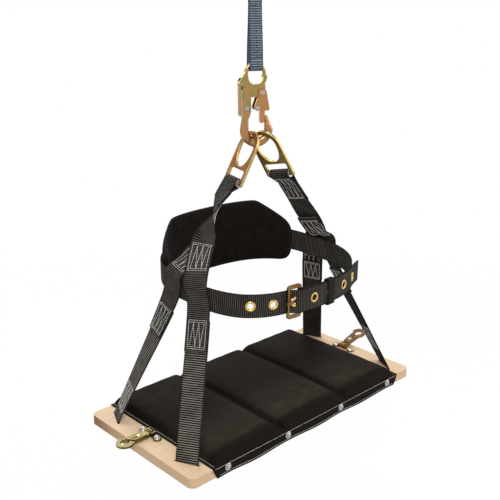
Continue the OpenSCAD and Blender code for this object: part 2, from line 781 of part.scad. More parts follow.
module left_ring_plate() ring_plate(left_at, left_bar, left_rise);
module right_ring_plate() ring_plate(right_at, right_bar, right_rise);
module left_ring_bar() ring_bar(left_at, left_bar, left_rise);
module right_ring_bar() ring_bar(right_at, right_bar, right_rise);
module left_bar_sleeve() bar_sleeve(left_at, left_bar, left_rise);
module right_bar_sleeve() bar_sleeve(right_at, right_bar, right_rise);
module left_bar_washers() bar_washers(left_at, left_bar, left_rise);
module right_bar_washers() bar_washers(right_at, right_bar, right_rise);

// Straps

module black_strap(f) {
    color("#262422") in_chair() strap(f, web_w, web_t);
}

module left_main_strap() black_strap(fold_frames(left_at, left_bar, upper_part(left_main), 6));
module right_main_strap() black_strap(fold_frames(right_at, right_bar, upper_part(right_main), 6));
module left_branch_strap() black_strap(upper_part(left_branch));
module right_branch_strap() black_strap(upper_part(right_branch));
module under_strap_a() black_strap(frames(under_a));
module under_strap_b() black_strap(frames(under_b));

// Seat board, cushion and cover

function screw_xs() = [for (k = [-1.5 : 1.5]) k * screw_step];

module rounded_plank(l, d, r) {
    square([l - 2 * r, d], center = true);
    square([l, d - 2 * r], center = true);
    for (sx = [-1, 1], sy = [-1, 1])
        translate([sx * (l / 2 - r), sy * (d / 2 - r)]) circle(r);
}

module strap_slot() {
    half = web_t / 2 + slot_room;
    square([web_w + 2 * slot_room, 2 * half], center = true);
    for (s = [-1, 1])
        translate([s * (web_w / 2 + slot_room), 0]) circle(half);
}

module seat_board() {
    color("burlywood") in_chair() difference() {
        linear_extrude(board_t) difference() {
            rounded_plank(board_l, board_d, board_r);
            for (sx = [-1, 1], sy = [-1, 1])
                translate([sx * slot_x, sy * slot_y]) rotate(sx * sy * -slot_turn) strap_slot();
            for (sx = [-1, 1], sy = [-1, 1])
                translate([bar_x(sx), snap_y + sy * loop_step / 2]) circle(screw_r + run);
        }
        for (x = screw_xs(), sy = [0, 180])
            rotate(sy) translate([x, -board_d / 2 + 20, screw_z]) rotate([90, 0, 0])
                cylinder(r = screw_r + run, h = 30);
    }
}

edge_steps = [0, 0.3, 1];
function section_xs(a, b) = concat(
    [for (e = edge_steps) a + e * foam_r],
    [(a + b) / 2],
    [for (e = [2, 1, 0]) b - edge_steps[e] * foam_r]
);
side_xs = section_xs(channel_x + channel_w / 2, foam_x);
middle_xs = section_xs(-channel_x + channel_w / 2, channel_x - channel_w / 2);
function mirrored(v) = [for (i = [len(v) - 1 : -1 : 0]) -v[i]];
cover_xs = concat(
    [-cover_x], mirrored(side_xs), [-channel_x], middle_xs, [channel_x], side_xs, [cover_x]
);
half_ys = [for (e = [0, 0.12, 0.4, 1]) board_d / 2 - e * foam_r];
cover_ys = concat(half_ys, [board_d / 4, 0, -board_d / 4], mirrored(half_ys));

function cover_ring(x) =
    let (
        yd = board_d / 2,
        c = cover_t,
        outer = concat(
            [[yd - flap_w, -c], [yd + c, -c]],
            [for (y = cover_ys) [y * (1 + c / yd), board_t + cushion(x, y) + c]],
            [[-yd - c, -c], [-yd + flap_w, -c]]
        ),
        inner = concat(
            [[-yd + flap_w, 0], [-yd, 0]],
            [for (y = mirrored(cover_ys)) [-y, board_t + cushion(x, y)]],
            [[yd, 0], [yd - flap_w, 0]]
        )
    )
    [for (p = concat(outer, inner)) [x, p[0], p[1]]];

module seat_cover() {
    color("#1d1c1b") in_chair() difference() {
        skin([for (x = cover_xs) cover_ring(x)]);
        for (x = screw_xs(), sy = [0, 180])
            rotate(sy) translate([x, -board_d / 2 + 5, screw_z]) rotate([90, 0, 0])
                cylinder(r = screw_r + gap, h = 20);
    }
}

function foam_ring(x) =
    let (ye = board_d / 2 - gap, top = [for (y = cover_ys) [y * ye * 2 / board_d, cushion(x, y) - 2 * gap]])
    [for (p = concat([[ye, 0]], top, [[-ye, 0]])) [x, p[0], foam_low + p[1]]];

module foam(xs) {
    color("dimgray") in_chair() skin([for (x = xs) foam_ring(x)]);
}

module foam_left() foam(mirrored(side_xs));
module foam_middle() foam(middle_xs);
module foam_right() foam(side_xs);

// Draws its children at each cover screw, with Z out of the board's edge
module at_cover_screws() {
    in_chair()
        for (x = screw_xs(), sy = [0, 180])
            rotate(sy) translate([x, -board_d / 2 - cover_t, screw_z]) rotate([90, 0, 0]) children();
}

module cover_washers() {
    color("lightgray") at_cover_screws() rotate_extrude()
        polygon([[screw_r + gap, 0], [7, 0], [7, 0.8], [5, 2.2], [screw_r + gap, 2.2]]);
}

module cover_screws() {
    color("silver") at_cover_screws() {
        translate([0, 0, -18]) cylinder(r = screw_r, h = 20.3);
        translate([0, 0, 2.3]) rotate_extrude()
            polygon([[0, 0], [4.4, 0], [4.1, 0.9], [3.1, 1.7], [1.6, 2.2], [0, 2.3]]);
    }
}

// Belt, buckle and keeper

module at_belt(s, off) {
    on_axes(belt_mid(s) + belt_out(s) * off, belt_along(s), belt_up(s)) children();
}

// Draws its children at a grommet, square to the webbing where it climbs over the buckle's bar
module at_grommet(s) {
    q = grommet_q(s);
    slope = atan((belt_off(q + 2) - belt_off(q - 2)) / 4);
    at_belt(s, belt_off(q)) rotate([0, -slope, 0]) children();
}

module belt() {
    hole_r = grommet_r + 1.1;
    color("#262422") in_chair() difference() {
        strap(belt_frames, web_w, web_t);
        for (s = grommets)
            at_grommet(s) {
                cylinder(r = hole_r, h = 2 * belt_lay - web_t, center = true, $fn = 24);
                for (k = [0, 180])
                    rotate([k, 0, 0]) translate([0, 0, web_t / 2])
                        cylinder(r = grommet_r + 4.2, h = flange_t + 0.1, $fn = 24);
            }
        at_belt(pivot_s, 0) translate([-14, -prong_w / 2 - 1, -14]) cube([26, prong_w + 2, 15.5]);
    }
}
prong_w = 6;

module belt_grommets() {
    half = web_t / 2 + 0.05;
    color("gold") in_chair()
        for (s = grommets)
            at_grommet(s) rotate_extrude() polygon([
                [grommet_r, -half - flange_t], [grommet_r + 4, -half - flange_t],
                [grommet_r + 4, -half], [grommet_r + 1, -half], [grommet_r + 1, half],
                [grommet_r + 4, half], [grommet_r + 4, half + flange_t], [grommet_r, half + flange_t]
            ]);
}

module at_buckle() {
    in_chair() at_belt(pivot_s, bar_off) children();
}

module buckle_frame() {
    tall = web_w + 5;
    end_w = 6.5;
    color("darkgoldenrod") at_buckle() {
        linear_extrude(buckle_bar, center = true) difference() {
            translate([-buckle_l / 2, 0])
                rounded_plank(buckle_l + buckle_bar, tall + 2 * end_w, 5);
            translate([-buckle_l + buckle_bar / 2, -tall / 2])
                square([buckle_l + buckle_bar, tall]);
        }
        rotate([90, 0, 0]) cylinder(d = buckle_bar, h = tall + end_w, center = true);
    }
}

module buckle_tongue() {
    lift = buckle_bar / 2 + gap;
    t = 2.3;
    color("darkgoldenrod") at_buckle() difference() {
        rotate([90, 0, 0]) linear_extrude(prong_w, center = true) union() {
            circle(buckle_bar / 2 + run + 1.8);
            polygon([
                [-1, -1.6], [-1, 1.6], [-9, 1.2], [-buckle_l + 5, lift + t],
                [-buckle_l - 4, lift + t - 0.4], [-buckle_l - 4.6, lift], [-buckle_l + 4, lift], [-8, -0.8]
            ]);
        }
        rotate([90, 0, 0]) cylinder(r = buckle_bar / 2 + run, h = 40, center = true);
    }
}

module belt_keeper() {
    room = 1.2;
    wall = 2;
    wide = 18;
    deep = belt_lay + web_t + 2 * room;
    color("#1f1e1d") in_chair() at_belt(keeper_s, belt_lay / 2) difference() {
        cube([wide, web_w + 2 * room + 2 * wall, deep + 2 * wall], center = true);
        cube([2 * wide, web_w + 2 * room, deep], center = true);
    }
}

// Back pad: follows the belt's oval on its inside, thick in the middle and thin at its edge

pad_turn = 70;
pad_flat = 0.48;
pad_skew = 0.04;
pad_edge = 5;
pad_back = web_t / 2 + gap;
pad_rows = [0, 0.04, 0.14, 0.35, 0.6, 0.86, 0.96, 1];
pad_cols = [-1, -0.985, -0.94, -0.86, -0.72, -0.58, -0.47, -0.36, -0.18, 0];
function oval_out(deg) = unit(cross(belt_point(deg + 1) - belt_point(deg - 1), [0, 0, 1]));
function pad_top(c) =
    let (a = abs(c - pad_skew), slope = max(0, a - pad_flat) / (1 - pad_flat))
    pad_low + mix(pad_h, pad_end_h, slope) - 10 * pow(abs(c), 40);
function pad_bottom(c) = pad_low + 18 * pow(abs(c), 30);
function pad_half(c, r) =
    mix(pad_edge, pad_t, (1 - pow(abs(2 * r - 1), 5)) * (1 - pow(abs(c), 14))) / 2;
function pad_spot(c, r, side) =
    let (deg = 90 - pad_turn * c, o = oval_out(deg), p = belt_point(deg))
    [p[0], p[1], 0] + o * (-pad_back - pad_t / 2 + side * pad_half(c, r))
        + [0, 0, mix(pad_bottom(c), pad_top(c), r)];

module back_pad() {
    color("#1d1c1b") in_chair() skin([
        for (c = concat(pad_cols, mirrored(some(pad_cols, 0, len(pad_cols) - 2))))
            concat(
                [for (r = pad_rows) pad_spot(c, r, 1)],
                [for (k = [len(pad_rows) - 1 : -1 : 0]) pad_spot(c, pad_rows[k], -1)]
            )
    ]);
}

// Webbing loops on the pad's back that the belt runs through
module pad_loops() {
    out_off = web_t + 2 * gap;
    in_off = -pad_back + web_t / 2 + gap;
    reach = web_w / 2 + 2;
    color("#262422") in_chair()
        for (deg = [58, 122]) {
            o = oval_out(deg);
            along = cross([0, 0, 1], o);
            p = belt_point(deg);
            pts = [
                [in_off, reach + 14], [in_off, reach + 6], [out_off, reach], [out_off, -reach],
                [in_off, -reach - 6], [in_off, -reach - 10]
            ];
            strap(frames([for (k = pts) place(p + o * k[0] + [0, 0, k[1]], along)]), 30, web_t - gap);
        }
}

// Tool snaps, drawn with X outwards from the bar and Z up from the board

module at_snap(side) {
    in_chair() translate([bar_x(side), snap_y, board_t]) rotate(side > 0 ? 0 : 180) children();
}

module at_snap_bar(side) {
    at_snap(side) translate([0, 0, snap_z]) rotate([0, side > 0 ? -snap_tilt : 0, 0])
        mirror([0, side > 0 ? 0 : 1, 0]) children();
}

snap_eye_w = 12;
mouth_x = snap_l - 15;
snap_pin_at = [mouth_x - 15, 0];
snap_pin_r = 2;
snap_cheek = 1.3;
snap_rim = 8;
shank_w = 18;
snap_wide = snap_t / 2 + gap + snap_cheek;

module bar_loop(side) {
    post_y = snap_eye_w / 2 + gap;
    post_w = 4;
    post_top = snap_z + loop_bar / 2 + 1;
    color("darkkhaki") at_snap(side) difference() {
        union() {
            for (s = [-1, 1]) {
                translate([0, s * loop_step / 2, 0]) cylinder(r = 8.5, h = loop_t);
                translate([-5, s > 0 ? post_y : -loop_step / 2, 0])
                    cube([10, loop_step / 2 - post_y, loop_t]);
                translate([-5, s * (post_y + post_w / 2) - post_w / 2, 0]) cube([10, post_w, post_top]);
            }
            translate([0, 0, snap_z]) rotate([90, 0, 0])
                cylinder(d = loop_bar, h = 2 * post_y + post_w, center = true);
        }
        for (s = [-1, 1])
            translate([0, s * loop_step / 2, -1]) cylinder(r = screw_r + run, h = loop_t + 2);
    }
}

module loop_screws() {
    color("silver")
        for (side = [-1, 1])
            at_snap(side)
                for (s = [-1, 1])
                    translate([0, s * loop_step / 2, 0]) {
                        translate([0, 0, -16]) cylinder(r = screw_r, h = 16 + loop_t + run);
                        translate([0, 0, loop_t + run]) rotate_extrude() polygon([
                            [0, 0], [7.4, 0], [7.4, 1.2], [6.6, 2.6], [5, 3.7], [2.6, 4.4], [0, 4.6]
                        ]);
                    }
}

module snap_shape() {
    hole_r = snap_r - snap_rim;
    difference() {
        union() {
            translate([3, -5.5]) square([mouth_x - 3, 11]);
            translate([8, -shank_w / 2]) square([mouth_x - 8, shank_w]);
            translate([snap_l, 0]) circle(snap_r);
            polygon([
                [mouth_x - 12, -shank_w / 2], [mouth_x, -shank_w / 2 - 1.5], [snap_l, -snap_r], [snap_l, 0],
                [mouth_x - 12, 0]
            ]);
        }
        translate([snap_l, 0]) circle(hole_r);
        translate([mouth_x, -2.2]) square([snap_l - mouth_x, snap_r + 5]);
    }
}

module snap(side) {
    color("goldenrod") at_snap_bar(side) difference() {
        union() {
            linear_extrude(snap_t, center = true) snap_shape();
            rotate([90, 0, 0]) cylinder(r = snap_eye_r, h = snap_eye_w, center = true);
        }
        rotate([90, 0, 0]) cylinder(r = loop_bar / 2 + run, h = 40, center = true);
        translate(snap_pin_at) cylinder(r = snap_pin_r, h = 20, center = true);
    }
}

module snap_gate(side) {
    tip_x = snap_l - 1.5;
    color("darkkhaki") at_snap_bar(side) difference() {
        union() {
            for (s = [-1, 1])
                translate([0, 0, s * (snap_wide - snap_cheek / 2)])
                    linear_extrude(snap_cheek, center = true) difference() {
                        polygon([
                            snap_pin_at + [-14, -8], snap_pin_at + [-14, 7], snap_pin_at + [-12, 9],
                            snap_pin_at + [22, 10.5], snap_pin_at + [24.5, 8], snap_pin_at + [20, 2],
                            snap_pin_at + [14, -8.5]
                        ]);
                        // Long hole that lightens the folded gate
                        translate(snap_pin_at + [4.5, -4.5]) rotate(12) square([11, 3]);
                    }
            linear_extrude(2 * snap_wide - snap_cheek, center = true) polygon([
                [mouth_x + 0.5, 3.6], [tip_x, 7], [tip_x, 10.4], [tip_x - 3.5, 10.8], [mouth_x + 0.5, 7]
            ]);
        }
        translate(snap_pin_at) cylinder(r = snap_pin_r + run, h = 20, center = true);
    }
}

module snap_rivet(side) {
    color("silver") at_snap_bar(side) translate(snap_pin_at) rivet(snap_pin_r, snap_wide + gap / 4, 0.9);
}

module left_bar_loop() bar_loop(-1);
module right_bar_loop() bar_loop(1);
module left_snap() snap(-1);
module right_snap() snap(1);
module left_snap_gate() snap_gate(-1);
module right_snap_gate() snap_gate(1);
module left_snap_rivet() snap_rivet(-1);
module right_snap_rivet() snap_rivet(1);

lanyard_strap();
hook_body();
hook_gate();
hook_gate_pin();
hook_gate_spring();
hook_gate_rivet();
hook_lock();
hook_lock_pin();
hook_rivet();
left_ring_plate();
right_ring_plate();
left_ring_bar();
right_ring_bar();
left_bar_sleeve();
right_bar_sleeve();
left_bar_washers();
right_bar_washers();
left_main_strap();
right_main_strap();
left_branch_strap();
right_branch_strap();
under_strap_a();
under_strap_b();
seat_board();
seat_cover();
foam_left();
foam_middle();
foam_right();
cover_screws();
cover_washers();
belt();
belt_grommets();
buckle_frame();
buckle_tongue();
belt_keeper();
back_pad();
pad_loops();
left_bar_loop();
right_bar_loop();
loop_screws();
left_snap();
right_snap();
left_snap_gate();
right_snap_gate();
left_snap_rivet();
right_snap_rivet();
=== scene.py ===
"""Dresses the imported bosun's chair: webbing, cushion, back pad, stitching, metal finishes, stage and camera."""

import json
import math

import bmesh
import bpy
import numpy as np
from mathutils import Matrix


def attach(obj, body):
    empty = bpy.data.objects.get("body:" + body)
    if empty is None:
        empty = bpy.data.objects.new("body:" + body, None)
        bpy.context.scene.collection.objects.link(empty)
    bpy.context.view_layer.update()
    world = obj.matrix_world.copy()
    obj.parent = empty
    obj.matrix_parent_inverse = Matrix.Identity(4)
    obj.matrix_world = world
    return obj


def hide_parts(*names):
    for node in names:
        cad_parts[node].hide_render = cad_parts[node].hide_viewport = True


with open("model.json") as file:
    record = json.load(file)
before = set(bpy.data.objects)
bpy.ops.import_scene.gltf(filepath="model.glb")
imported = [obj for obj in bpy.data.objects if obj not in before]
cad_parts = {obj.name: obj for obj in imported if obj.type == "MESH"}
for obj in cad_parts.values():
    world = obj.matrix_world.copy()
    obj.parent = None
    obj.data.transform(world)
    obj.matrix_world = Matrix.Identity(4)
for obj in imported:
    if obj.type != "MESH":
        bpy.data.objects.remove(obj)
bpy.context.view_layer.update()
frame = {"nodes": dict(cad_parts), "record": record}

bl_info = {
    "name": "Bosun's Chair Dressing",
    "version": (1, 0, 0),
    "blender": (4, 5, 0),
    "location": "3D View > Sidebar > Chair",
    "description": "Builds the soft goods, stitching and finishes of a bosun's chair around its packed frame",
    "category": "Object",
}

# Lengths are in millimetres from the middle of the board's underside. Properties, finishes, camera and lamps are in
# metres of the frame's own origin, where the chair hangs.
MM = 0.001
SEAT_TO_HANG = np.array([0.7, -14.7, -822.0])
UP = np.array([0.0, 0.0, 1.0])

# Board, foam and cover
BOARD_D, BOARD_T, PLIES = 305.0, 19.0, 7
SLOT_X, SLOT_Y, SLOT_TURN = 277.5, 106.5, 65.0
COVER_X, COVER_T, FOAM_H, FOAM_CROWN, FOAM_R = 259.0, 1.4, 17.0, 6.0, 16.0
CHANNEL_X, CHANNEL_W, HEM_W, FLAP_W, SCREW_STEP = 88.0, 12.0, 12.0, 18.0, 150.0
FOAM_X, HALF_D = COVER_X - HEM_W, BOARD_D / 2
CHANNEL_FLOOR, PINCH, PINCH_W, PUCKER, PUCKER_IN = 0.35, 0.35, 9.0, 0.28, 7
FLAP_SAG, FLAP_BULGE, SLANT_RUN = 3.2, 1.3, 45.0

# Straps, with the sides -1 for left and 1 for right
WEB_W, WEB_T, LAP_GAP, GAP = 44.0, 2.4, 0.5, 0.4
LAY = WEB_T + LAP_GAP
FORKS = {-1: np.array([-141.0, 5.0, 357.0]), 1: np.array([156.0, 5.0, 343.0])}
STRAP_START, FOLD_LAP, LEG_STOP, LEG_LAP = 28, 6, 7, 2
FOLD_R = 8 / 2 + 2 + LAP_GAP + WEB_T / 2
BRANCH_END, BRANCH_LONGER, BRANCH_LIFT, BRANCH_BEND, BRANCH_CLOSE = 9.0, 18, 2.2, 0.45, 0.86
ROUTE_STEPS, STRAP_STEPS = 5, 4
LEG_Y = {(-1, -1): -42.0, (-1, 1): 24.0, (1, -1): -20.0, (1, 1): 20.0}

# Room that a leg leaves to the belt's oval, in thicknesses of webbing, by (main strap, belt's upper edge)
PUSH_ROOM = {(True, True): 5.0, (True, False): 5.6, (False, True): 2.6, (False, False): 4.0}
PUSH_OVER, PUSH_UNDER, PUSH_SPREAD = 4, 2, 8

# Hook, rings and lanyard
HOOK_AT, HOOK_TURN = np.array([-0.7, 14.7, 534.5]), -25.0
RING_H, RING_T, RING_RIM, RING_EDGE, RING_REACH = 100.0, 5.5, 8.5, 1.1, 95.75
EYE_W, EYE_LOW, EYE_POWER = 46.0, 30.0, 0.88
FOOT, FOOT_LOW, WINDOW_U, WINDOW_Y = 32.4, 4.5, 24.5, 24.0
LANYARD_W, LANYARD_T, LANYARD_LOW, LANYARD_HIGH = 25.0, 2.4, 132.5, 287.5
LANYARD_R_LOW, LANYARD_R_HIGH = 8.2 + LANYARD_T / 2, 14.0 + LANYARD_T / 2

# Belt, buckle and eyelets; a place on the belt is its length S from the front middle
BELT_A, BELT_B, BELT_Z, BELT_TILT, BELT_X, BELT_Y, BELT_N = 180.0, 158.0, 286.0, 13.0, -8.0, -1.0, 2.6
BELT_LAY = 3.6
PIVOT_S, KEEPER_S, TAIL_S, BUCKLE_L, BUCKLE_BAR = -43.5, 28.0, 150.0, 27.0, 4.5
TAIL_FLARE, TAIL_FLARE_S, TAIL_FLARE_RUN = 9, 124, 30
GROMMET_STEP, GROMMET_R, GROMMET_RIM, GROMMET_TUBE = 43.0, 5.5, 9.5, 6.4
RIM_DOME, RIM_BACK, CUT_R, CUT_DEEP = 1.0, 0.6, 7.6, 1.9
KEEPER_W, KEEPER_T, KEEPER_HIGH, KEEPER_DEEP = 18.0, 2.0, WEB_W / 2 + 2.2, 5.2

# Back pad
PAD_T, PAD_LOW, PAD_H, PAD_END_H = 18.0, 248.0, 128.0, 76.0
PAD_TURN, PAD_FLAT, PAD_SKEW, PAD_EDGE = 70.0, 0.48, 0.04, 5.0
PAD_BACK = WEB_T / 2 + GAP
PAD_LOOPS, LOOP_W = {"right": 58.0, "left": 122.0}, 30.0
BINDING_IN, BINDING_W, BINDING_T = 5.0, 6.6, 3.5

# Sewing: a box's half width, its inset rows, its zigzag's inset and strokes; a stitch's length; then shares of the
# properties' pitch and thread, and how far a row's thread lies over the cloth
BOX_HALF, BOX_ROW, BOX_ZIG, BOX_STROKES = 16.5, 3.4, 5, 5
STITCH_L, LANYARD_STITCH_L = 2.9, 5.2
STRAP_PITCH, LANYARD_PITCH, LANYARD_THREAD, COVER_THREAD = 0.95, 2.3, 1.5, 0.8
STRAP_OVER, LANYARD_OVER, FLAP_OVER, HEM_OVER = 0.15, 0.1, 0.25, 0.2
FLAP_ROW_HIGH, FLAP_ROW_LOW, HEM_ROW = 17.6, 2.6, 5.5

# Cloth that swells starts a little thinner.
SEAT_START, PAD_START = ((0.93, 0.94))
SEAT_PRESSURE, PAD_PRESSURE, SWELL_FRAMES = 4.0, 3.5, 20

# Rounded copies of CAD nodes: points closer than this, in metres, merge, faces closer than this angle join, and edges
# sharper than this angle are rounded
MERGE_GAP, FLAT_ANGLE, EDGE_ANGLE = 4e-6, 0.6, 38

# Stage: the floor in millimetres, camera and lamps in metres
CAMERA_AT, CAMERA_DOWN, CAMERA_TURN, CAMERA_LENS = (-0.9966, -1.0377, -0.0460), 17.75, -43.49, 55.806
FLOOR_R, FLOOR_Z, LAMP_AIM, SKY = 14000, -330.0, np.array([0.0, 0.0, -0.55]), 0.42
WHITE = (1.0, 1.0, 1.0, 1.0)
LAMPS = [
    ("key", (-1.5, -1.6, 1.1), 1.5, 42, (1.0, 0.98, 0.95)),
    ("fill", (1.6, -1.4, 0.2), 1.6, 16, (0.97, 0.98, 1.0)),
    ("top", (0.2, 0.4, 1.7), 1.3, 20, (1.0, 1.0, 1.0)),
    ("rim", (0.4, 1.9, 0.4), 1.4, 14, (1.0, 1.0, 1.0)),
]


# Shapes


def unit(v):
    """A vector over its own length."""
    v = np.asarray(v, float)
    return v / np.linalg.norm(v, axis=-1, keepdims=True)


def square_to(v, axis):
    """What is left of v when its share along the axis is taken away."""
    return v - axis * np.sum(v * axis, axis=-1, keepdims=True)


def turn_to(deg):
    """Level direction at an angle from +X."""
    return np.array([math.cos(math.radians(deg)), math.sin(math.radians(deg)), 0.0])


def full_turn(n):
    """n even angles round a circle."""
    return np.linspace(0, 2 * np.pi, n, endpoint=False)


def signed_power(v, p):
    """The size of v to a power, with v's sign: below 1 it squares up a circle's cosine and sine."""
    return np.sign(v) * np.abs(v) ** p


def mix(a, b, f):
    """Straight mix of a and b."""
    return a + (b - a) * f


def smooth_step(x):
    """0 below 0, 1 above 1, and 3x^2 - 2x^3 between."""
    x = np.clip(x, 0, 1)
    return x * x * (3 - 2 * x)


def curve(points, steps):
    """Cubic spans through the points: each span's end slopes are half the chord between its neighbours."""
    p = np.asarray(points, float)
    q = np.vstack([p[:1], p, p[-1:]])
    a, b, c, d = (q[i : len(q) - 3 + i, None, :] for i in range(4))
    f = (np.arange(steps) / steps)[None, :, None]
    spans = 0.5 * (2 * b + (c - a) * f + (2 * a - 5 * b + 4 * c - d) * f**2 + (3 * b - a - 3 * c + d) * f**3)
    return np.vstack([spans.reshape(-1, p.shape[1]), p[-1:]])


def place(p, w):
    """A middle point and a width direction in one row."""
    return np.concatenate([p, w])


def frames(c):
    """Middle, width direction and face normal along a curve; the normal is the tangent crossed with the width."""
    p = c[:, :3]
    t = unit(np.vstack([p[1:], p[-1:]]) - np.vstack([p[:1], p[:-1]]))
    w = unit(square_to(c[:, 3:6], t))
    return np.stack([p, w, np.cross(t, w)], axis=1)


def shifted(f, d):
    """Frames moved by d along their normals."""
    g = f.copy()
    g[:, 0] += g[:, 2] * d
    return g


def turned_back(f):
    """Frames in the other order, with their faces turned over."""
    g = f[::-1].copy()
    g[:, 2] *= -1
    return g


def fine(f, steps):
    """Frames with more rows between them: the same cubic spans, squared up again."""
    c = curve(f.reshape(len(f), 9), steps).reshape(-1, 3, 3)
    c[:, 1] = unit(c[:, 1])
    c[:, 2] = unit(square_to(c[:, 2], c[:, 1]))
    return c


def run_of(points):
    """Length along a row of points."""
    return np.concatenate([[0], np.cumsum(np.linalg.norm(np.diff(points, axis=0), axis=1))])


def at_lengths(s, run, rows):
    """Rows of numbers read off at the lengths s."""
    return np.stack([np.interp(s, run, column) for column in rows.T], axis=1)


def half_fold(mid, wide, out, ahead, r):
    """Frames of half a turn of radius r round a bar: normals out x cos - ahead x sin, from inside to outside."""
    a = np.radians(np.arange(180, -1, -22.5))[:, None]
    normal = out * np.cos(a) - ahead * np.sin(a)
    return np.stack([mid + normal * r, np.tile(wide, (len(a), 1)), normal], axis=1)


def belt_plan(y):
    """Half width of the belt's oval at depth y."""
    return BELT_A * (1 - (abs(y - BELT_Y) / BELT_B) ** BELT_N) ** (1 / BELT_N)


def leg_push(sx, sy, up):
    """Where the belt presses a leg outwards, at its upper or lower edge: the oval plus the leg's room."""
    y = LEG_Y[sx, sy] + (0 if up else PUSH_SPREAD * sy)
    x = BELT_X + sx * (belt_plan(y) + WEB_T * PUSH_ROOM[sx == sy, up])
    return np.array([x, y, BELT_Z + (WEB_W / 2 + PUSH_OVER if up else PUSH_UNDER - WEB_W / 2)])


def slot_at(sx, sy, z):
    """Middle of a strap slot at height z."""
    return np.array([sx * SLOT_X, sy * SLOT_Y, z])


def ring_place(hung_at, rise, bar):
    """Middle of a ring's bar, the bar's direction and the ring's rise, from the place where its eye hangs."""
    rise = unit(rise)
    return np.array(hung_at) - rise * RING_REACH, unit(square_to(np.array(bar), rise)), rise


RINGS = {
    -1: ring_place([-4.9, 13.8, 543.8], [0.407, -0.137, 0.903], [0.21, 0.978, 0.0]),
    1: ring_place([6.7, 8.0, 544.1], [-0.498, 0.079, 0.863], [0.116, -0.967, 0.229]),
}


def main_routes():
    """Frames of the two main straps, from the ring's bar through the twist and the fork to the slot."""
    twist = {
        -1: [(0.30, turn_to(48)), (0.54, turn_to(30)), (0.78, turn_to(0))],
        1: [(0.36, mix(RINGS[1][1], turn_to(-62), 0.36)), (0.70, turn_to(-58))],
    }
    turns = {-1: (-42, -64, -66), 1: (-60, -63, -64)}
    routes = []
    for side, fork in FORKS.items():
        at, bar, _ = RINGS[side]
        start = at + unit(square_to(fork - at, bar)) * STRAP_START
        high, low, slot = leg_push(side, side, True), leg_push(side, side, False), slot_at(side, side, BOARD_T)
        rows = [place(start, bar)]
        rows += [place(mix(start, fork, share), wide) for share, wide in twist[side]]
        rows += [place(p, turn_to(deg)) for p, deg in zip((fork, high, low), turns[side])]
        rows += [place(p, turn_to(-SLOT_TURN)) for p in (mix(low, slot, 0.5), slot)]
        routes.append(frames(curve(rows, ROUTE_STEPS)))
    return routes


def branch_route(f, i, sx, sy, belt_turn, leg_turn, end, early, lean):
    """Frames of a branch strap, sewn by its end to the main strap's frame i at the fork, then down the other leg. Its
    width is turned to belt_turn at the belt, a share early of that at the bend, and to leg_turn below. The end is so
    long, and leans by a share from the branch's own line to the main strap's."""
    high, low, slot = leg_push(sx, sy, True), leg_push(sx, sy, False), slot_at(sx, sy, BOARD_T)
    mid, wide, normal = f[i]
    off = normal * sx * LAY * BRANCH_LIFT
    start = mid + off
    bend = mix(mid, high, BRANCH_BEND) + off * BRANCH_CLOSE
    back = unit(mix(unit(square_to(start - bend, normal)), unit(f[i - 1][0] - mid), lean))
    rows = [
        place(start + back * end, wide),
        place(start, wide),
        place(bend, mix(wide, turn_to(belt_turn), early)),
        place(high, turn_to(belt_turn)),
        place(low, turn_to(belt_turn - 4)),
        place(mix(low, slot, 0.5), turn_to(leg_turn)),
        place(slot, turn_to(SLOT_TURN - 180)),
    ]
    return frames(curve(rows, ROUTE_STEPS))


def riser(f, side):
    """Rows of an under strap's end: beside the upper strap, then across to the middle of the slot."""
    n = len(f) - 1
    i = np.arange(n - LEG_STOP - LEG_LAP, n + 1)
    d = LAY * np.clip((n - 1 - i) / (LEG_STOP - 1.5), 0, 1)
    return np.hstack([f[i, 0] + f[i, 2] * (side * d)[:, None], f[i, 1]])


def under_run(a, b, w, dip):
    """Rows below the board: down through one slot, along the diagonal, lower by dip at the crossing, and up through
    the other slot."""
    d, low, l = unit(b - a), -(WEB_T / 2 + 2 * GAP), np.linalg.norm(b - a)
    along = [0, 0, 0.6, 3, 25, l / 2 - 110, l / 2 - 72, l / 2, l / 2 + 72, l / 2 + 110, l - 25, l - 3, l - 0.6, l, l]
    half = [BOARD_T / 2, 1, low / 2, low, low, low]
    p = a + np.outer(along, d) + np.outer([*half, *[low - dip] * 3, *half[::-1]], UP)
    return np.hstack([p, np.tile(w, (len(p), 1))])


def fold_route(side, f):
    """Frames of a strap that is folded round a ring's bar: the inner layer, the turn and the outer layer."""
    at, bar, _ = RINGS[side]
    down = unit(square_to(f[0][0] - at, bar))
    turn = half_fold(at, bar, np.cross(down, bar), down, FOLD_R)
    return np.concatenate([turned_back(shifted(f[: FOLD_LAP + 1], -LAY)), turn, f])


def under_route(left, right, sy, w, dip):
    """Frames of an under strap from a left leg to the right leg of the other corner."""
    below = under_run(slot_at(-1, sy, 0), slot_at(1, -sy, 0), w, dip)
    return frames(np.vstack([riser(left, -1), below, riser(right, 1)[::-1]]))


def strap_routes():
    """Frames of all six black straps by the name of the CAD node that each stands for."""
    left, right = main_routes()
    left_b = branch_route(left, 20, -1, 1, belt_turn=-84, leg_turn=-104, end=BRANCH_END, early=0.3, lean=0.0)
    longer = BRANCH_END + BRANCH_LONGER
    right_b = branch_route(right, 15, 1, -1, belt_turn=-99, leg_turn=-110, end=longer, early=0.15, lean=0.9)
    ends = slice(None, -LEG_STOP)
    return {
        "left_main_strap": fold_route(-1, left[ends]),
        "right_main_strap": fold_route(1, right[ends]),
        "left_branch_strap": left_b[ends],
        "right_branch_strap": right_b[ends],
        "under_strap_a": under_route(left, right, -1, turn_to(-SLOT_TURN), 0),
        "under_strap_b": under_route(left_b, right_b, 1, turn_to(SLOT_TURN - 180), LAY),
    }


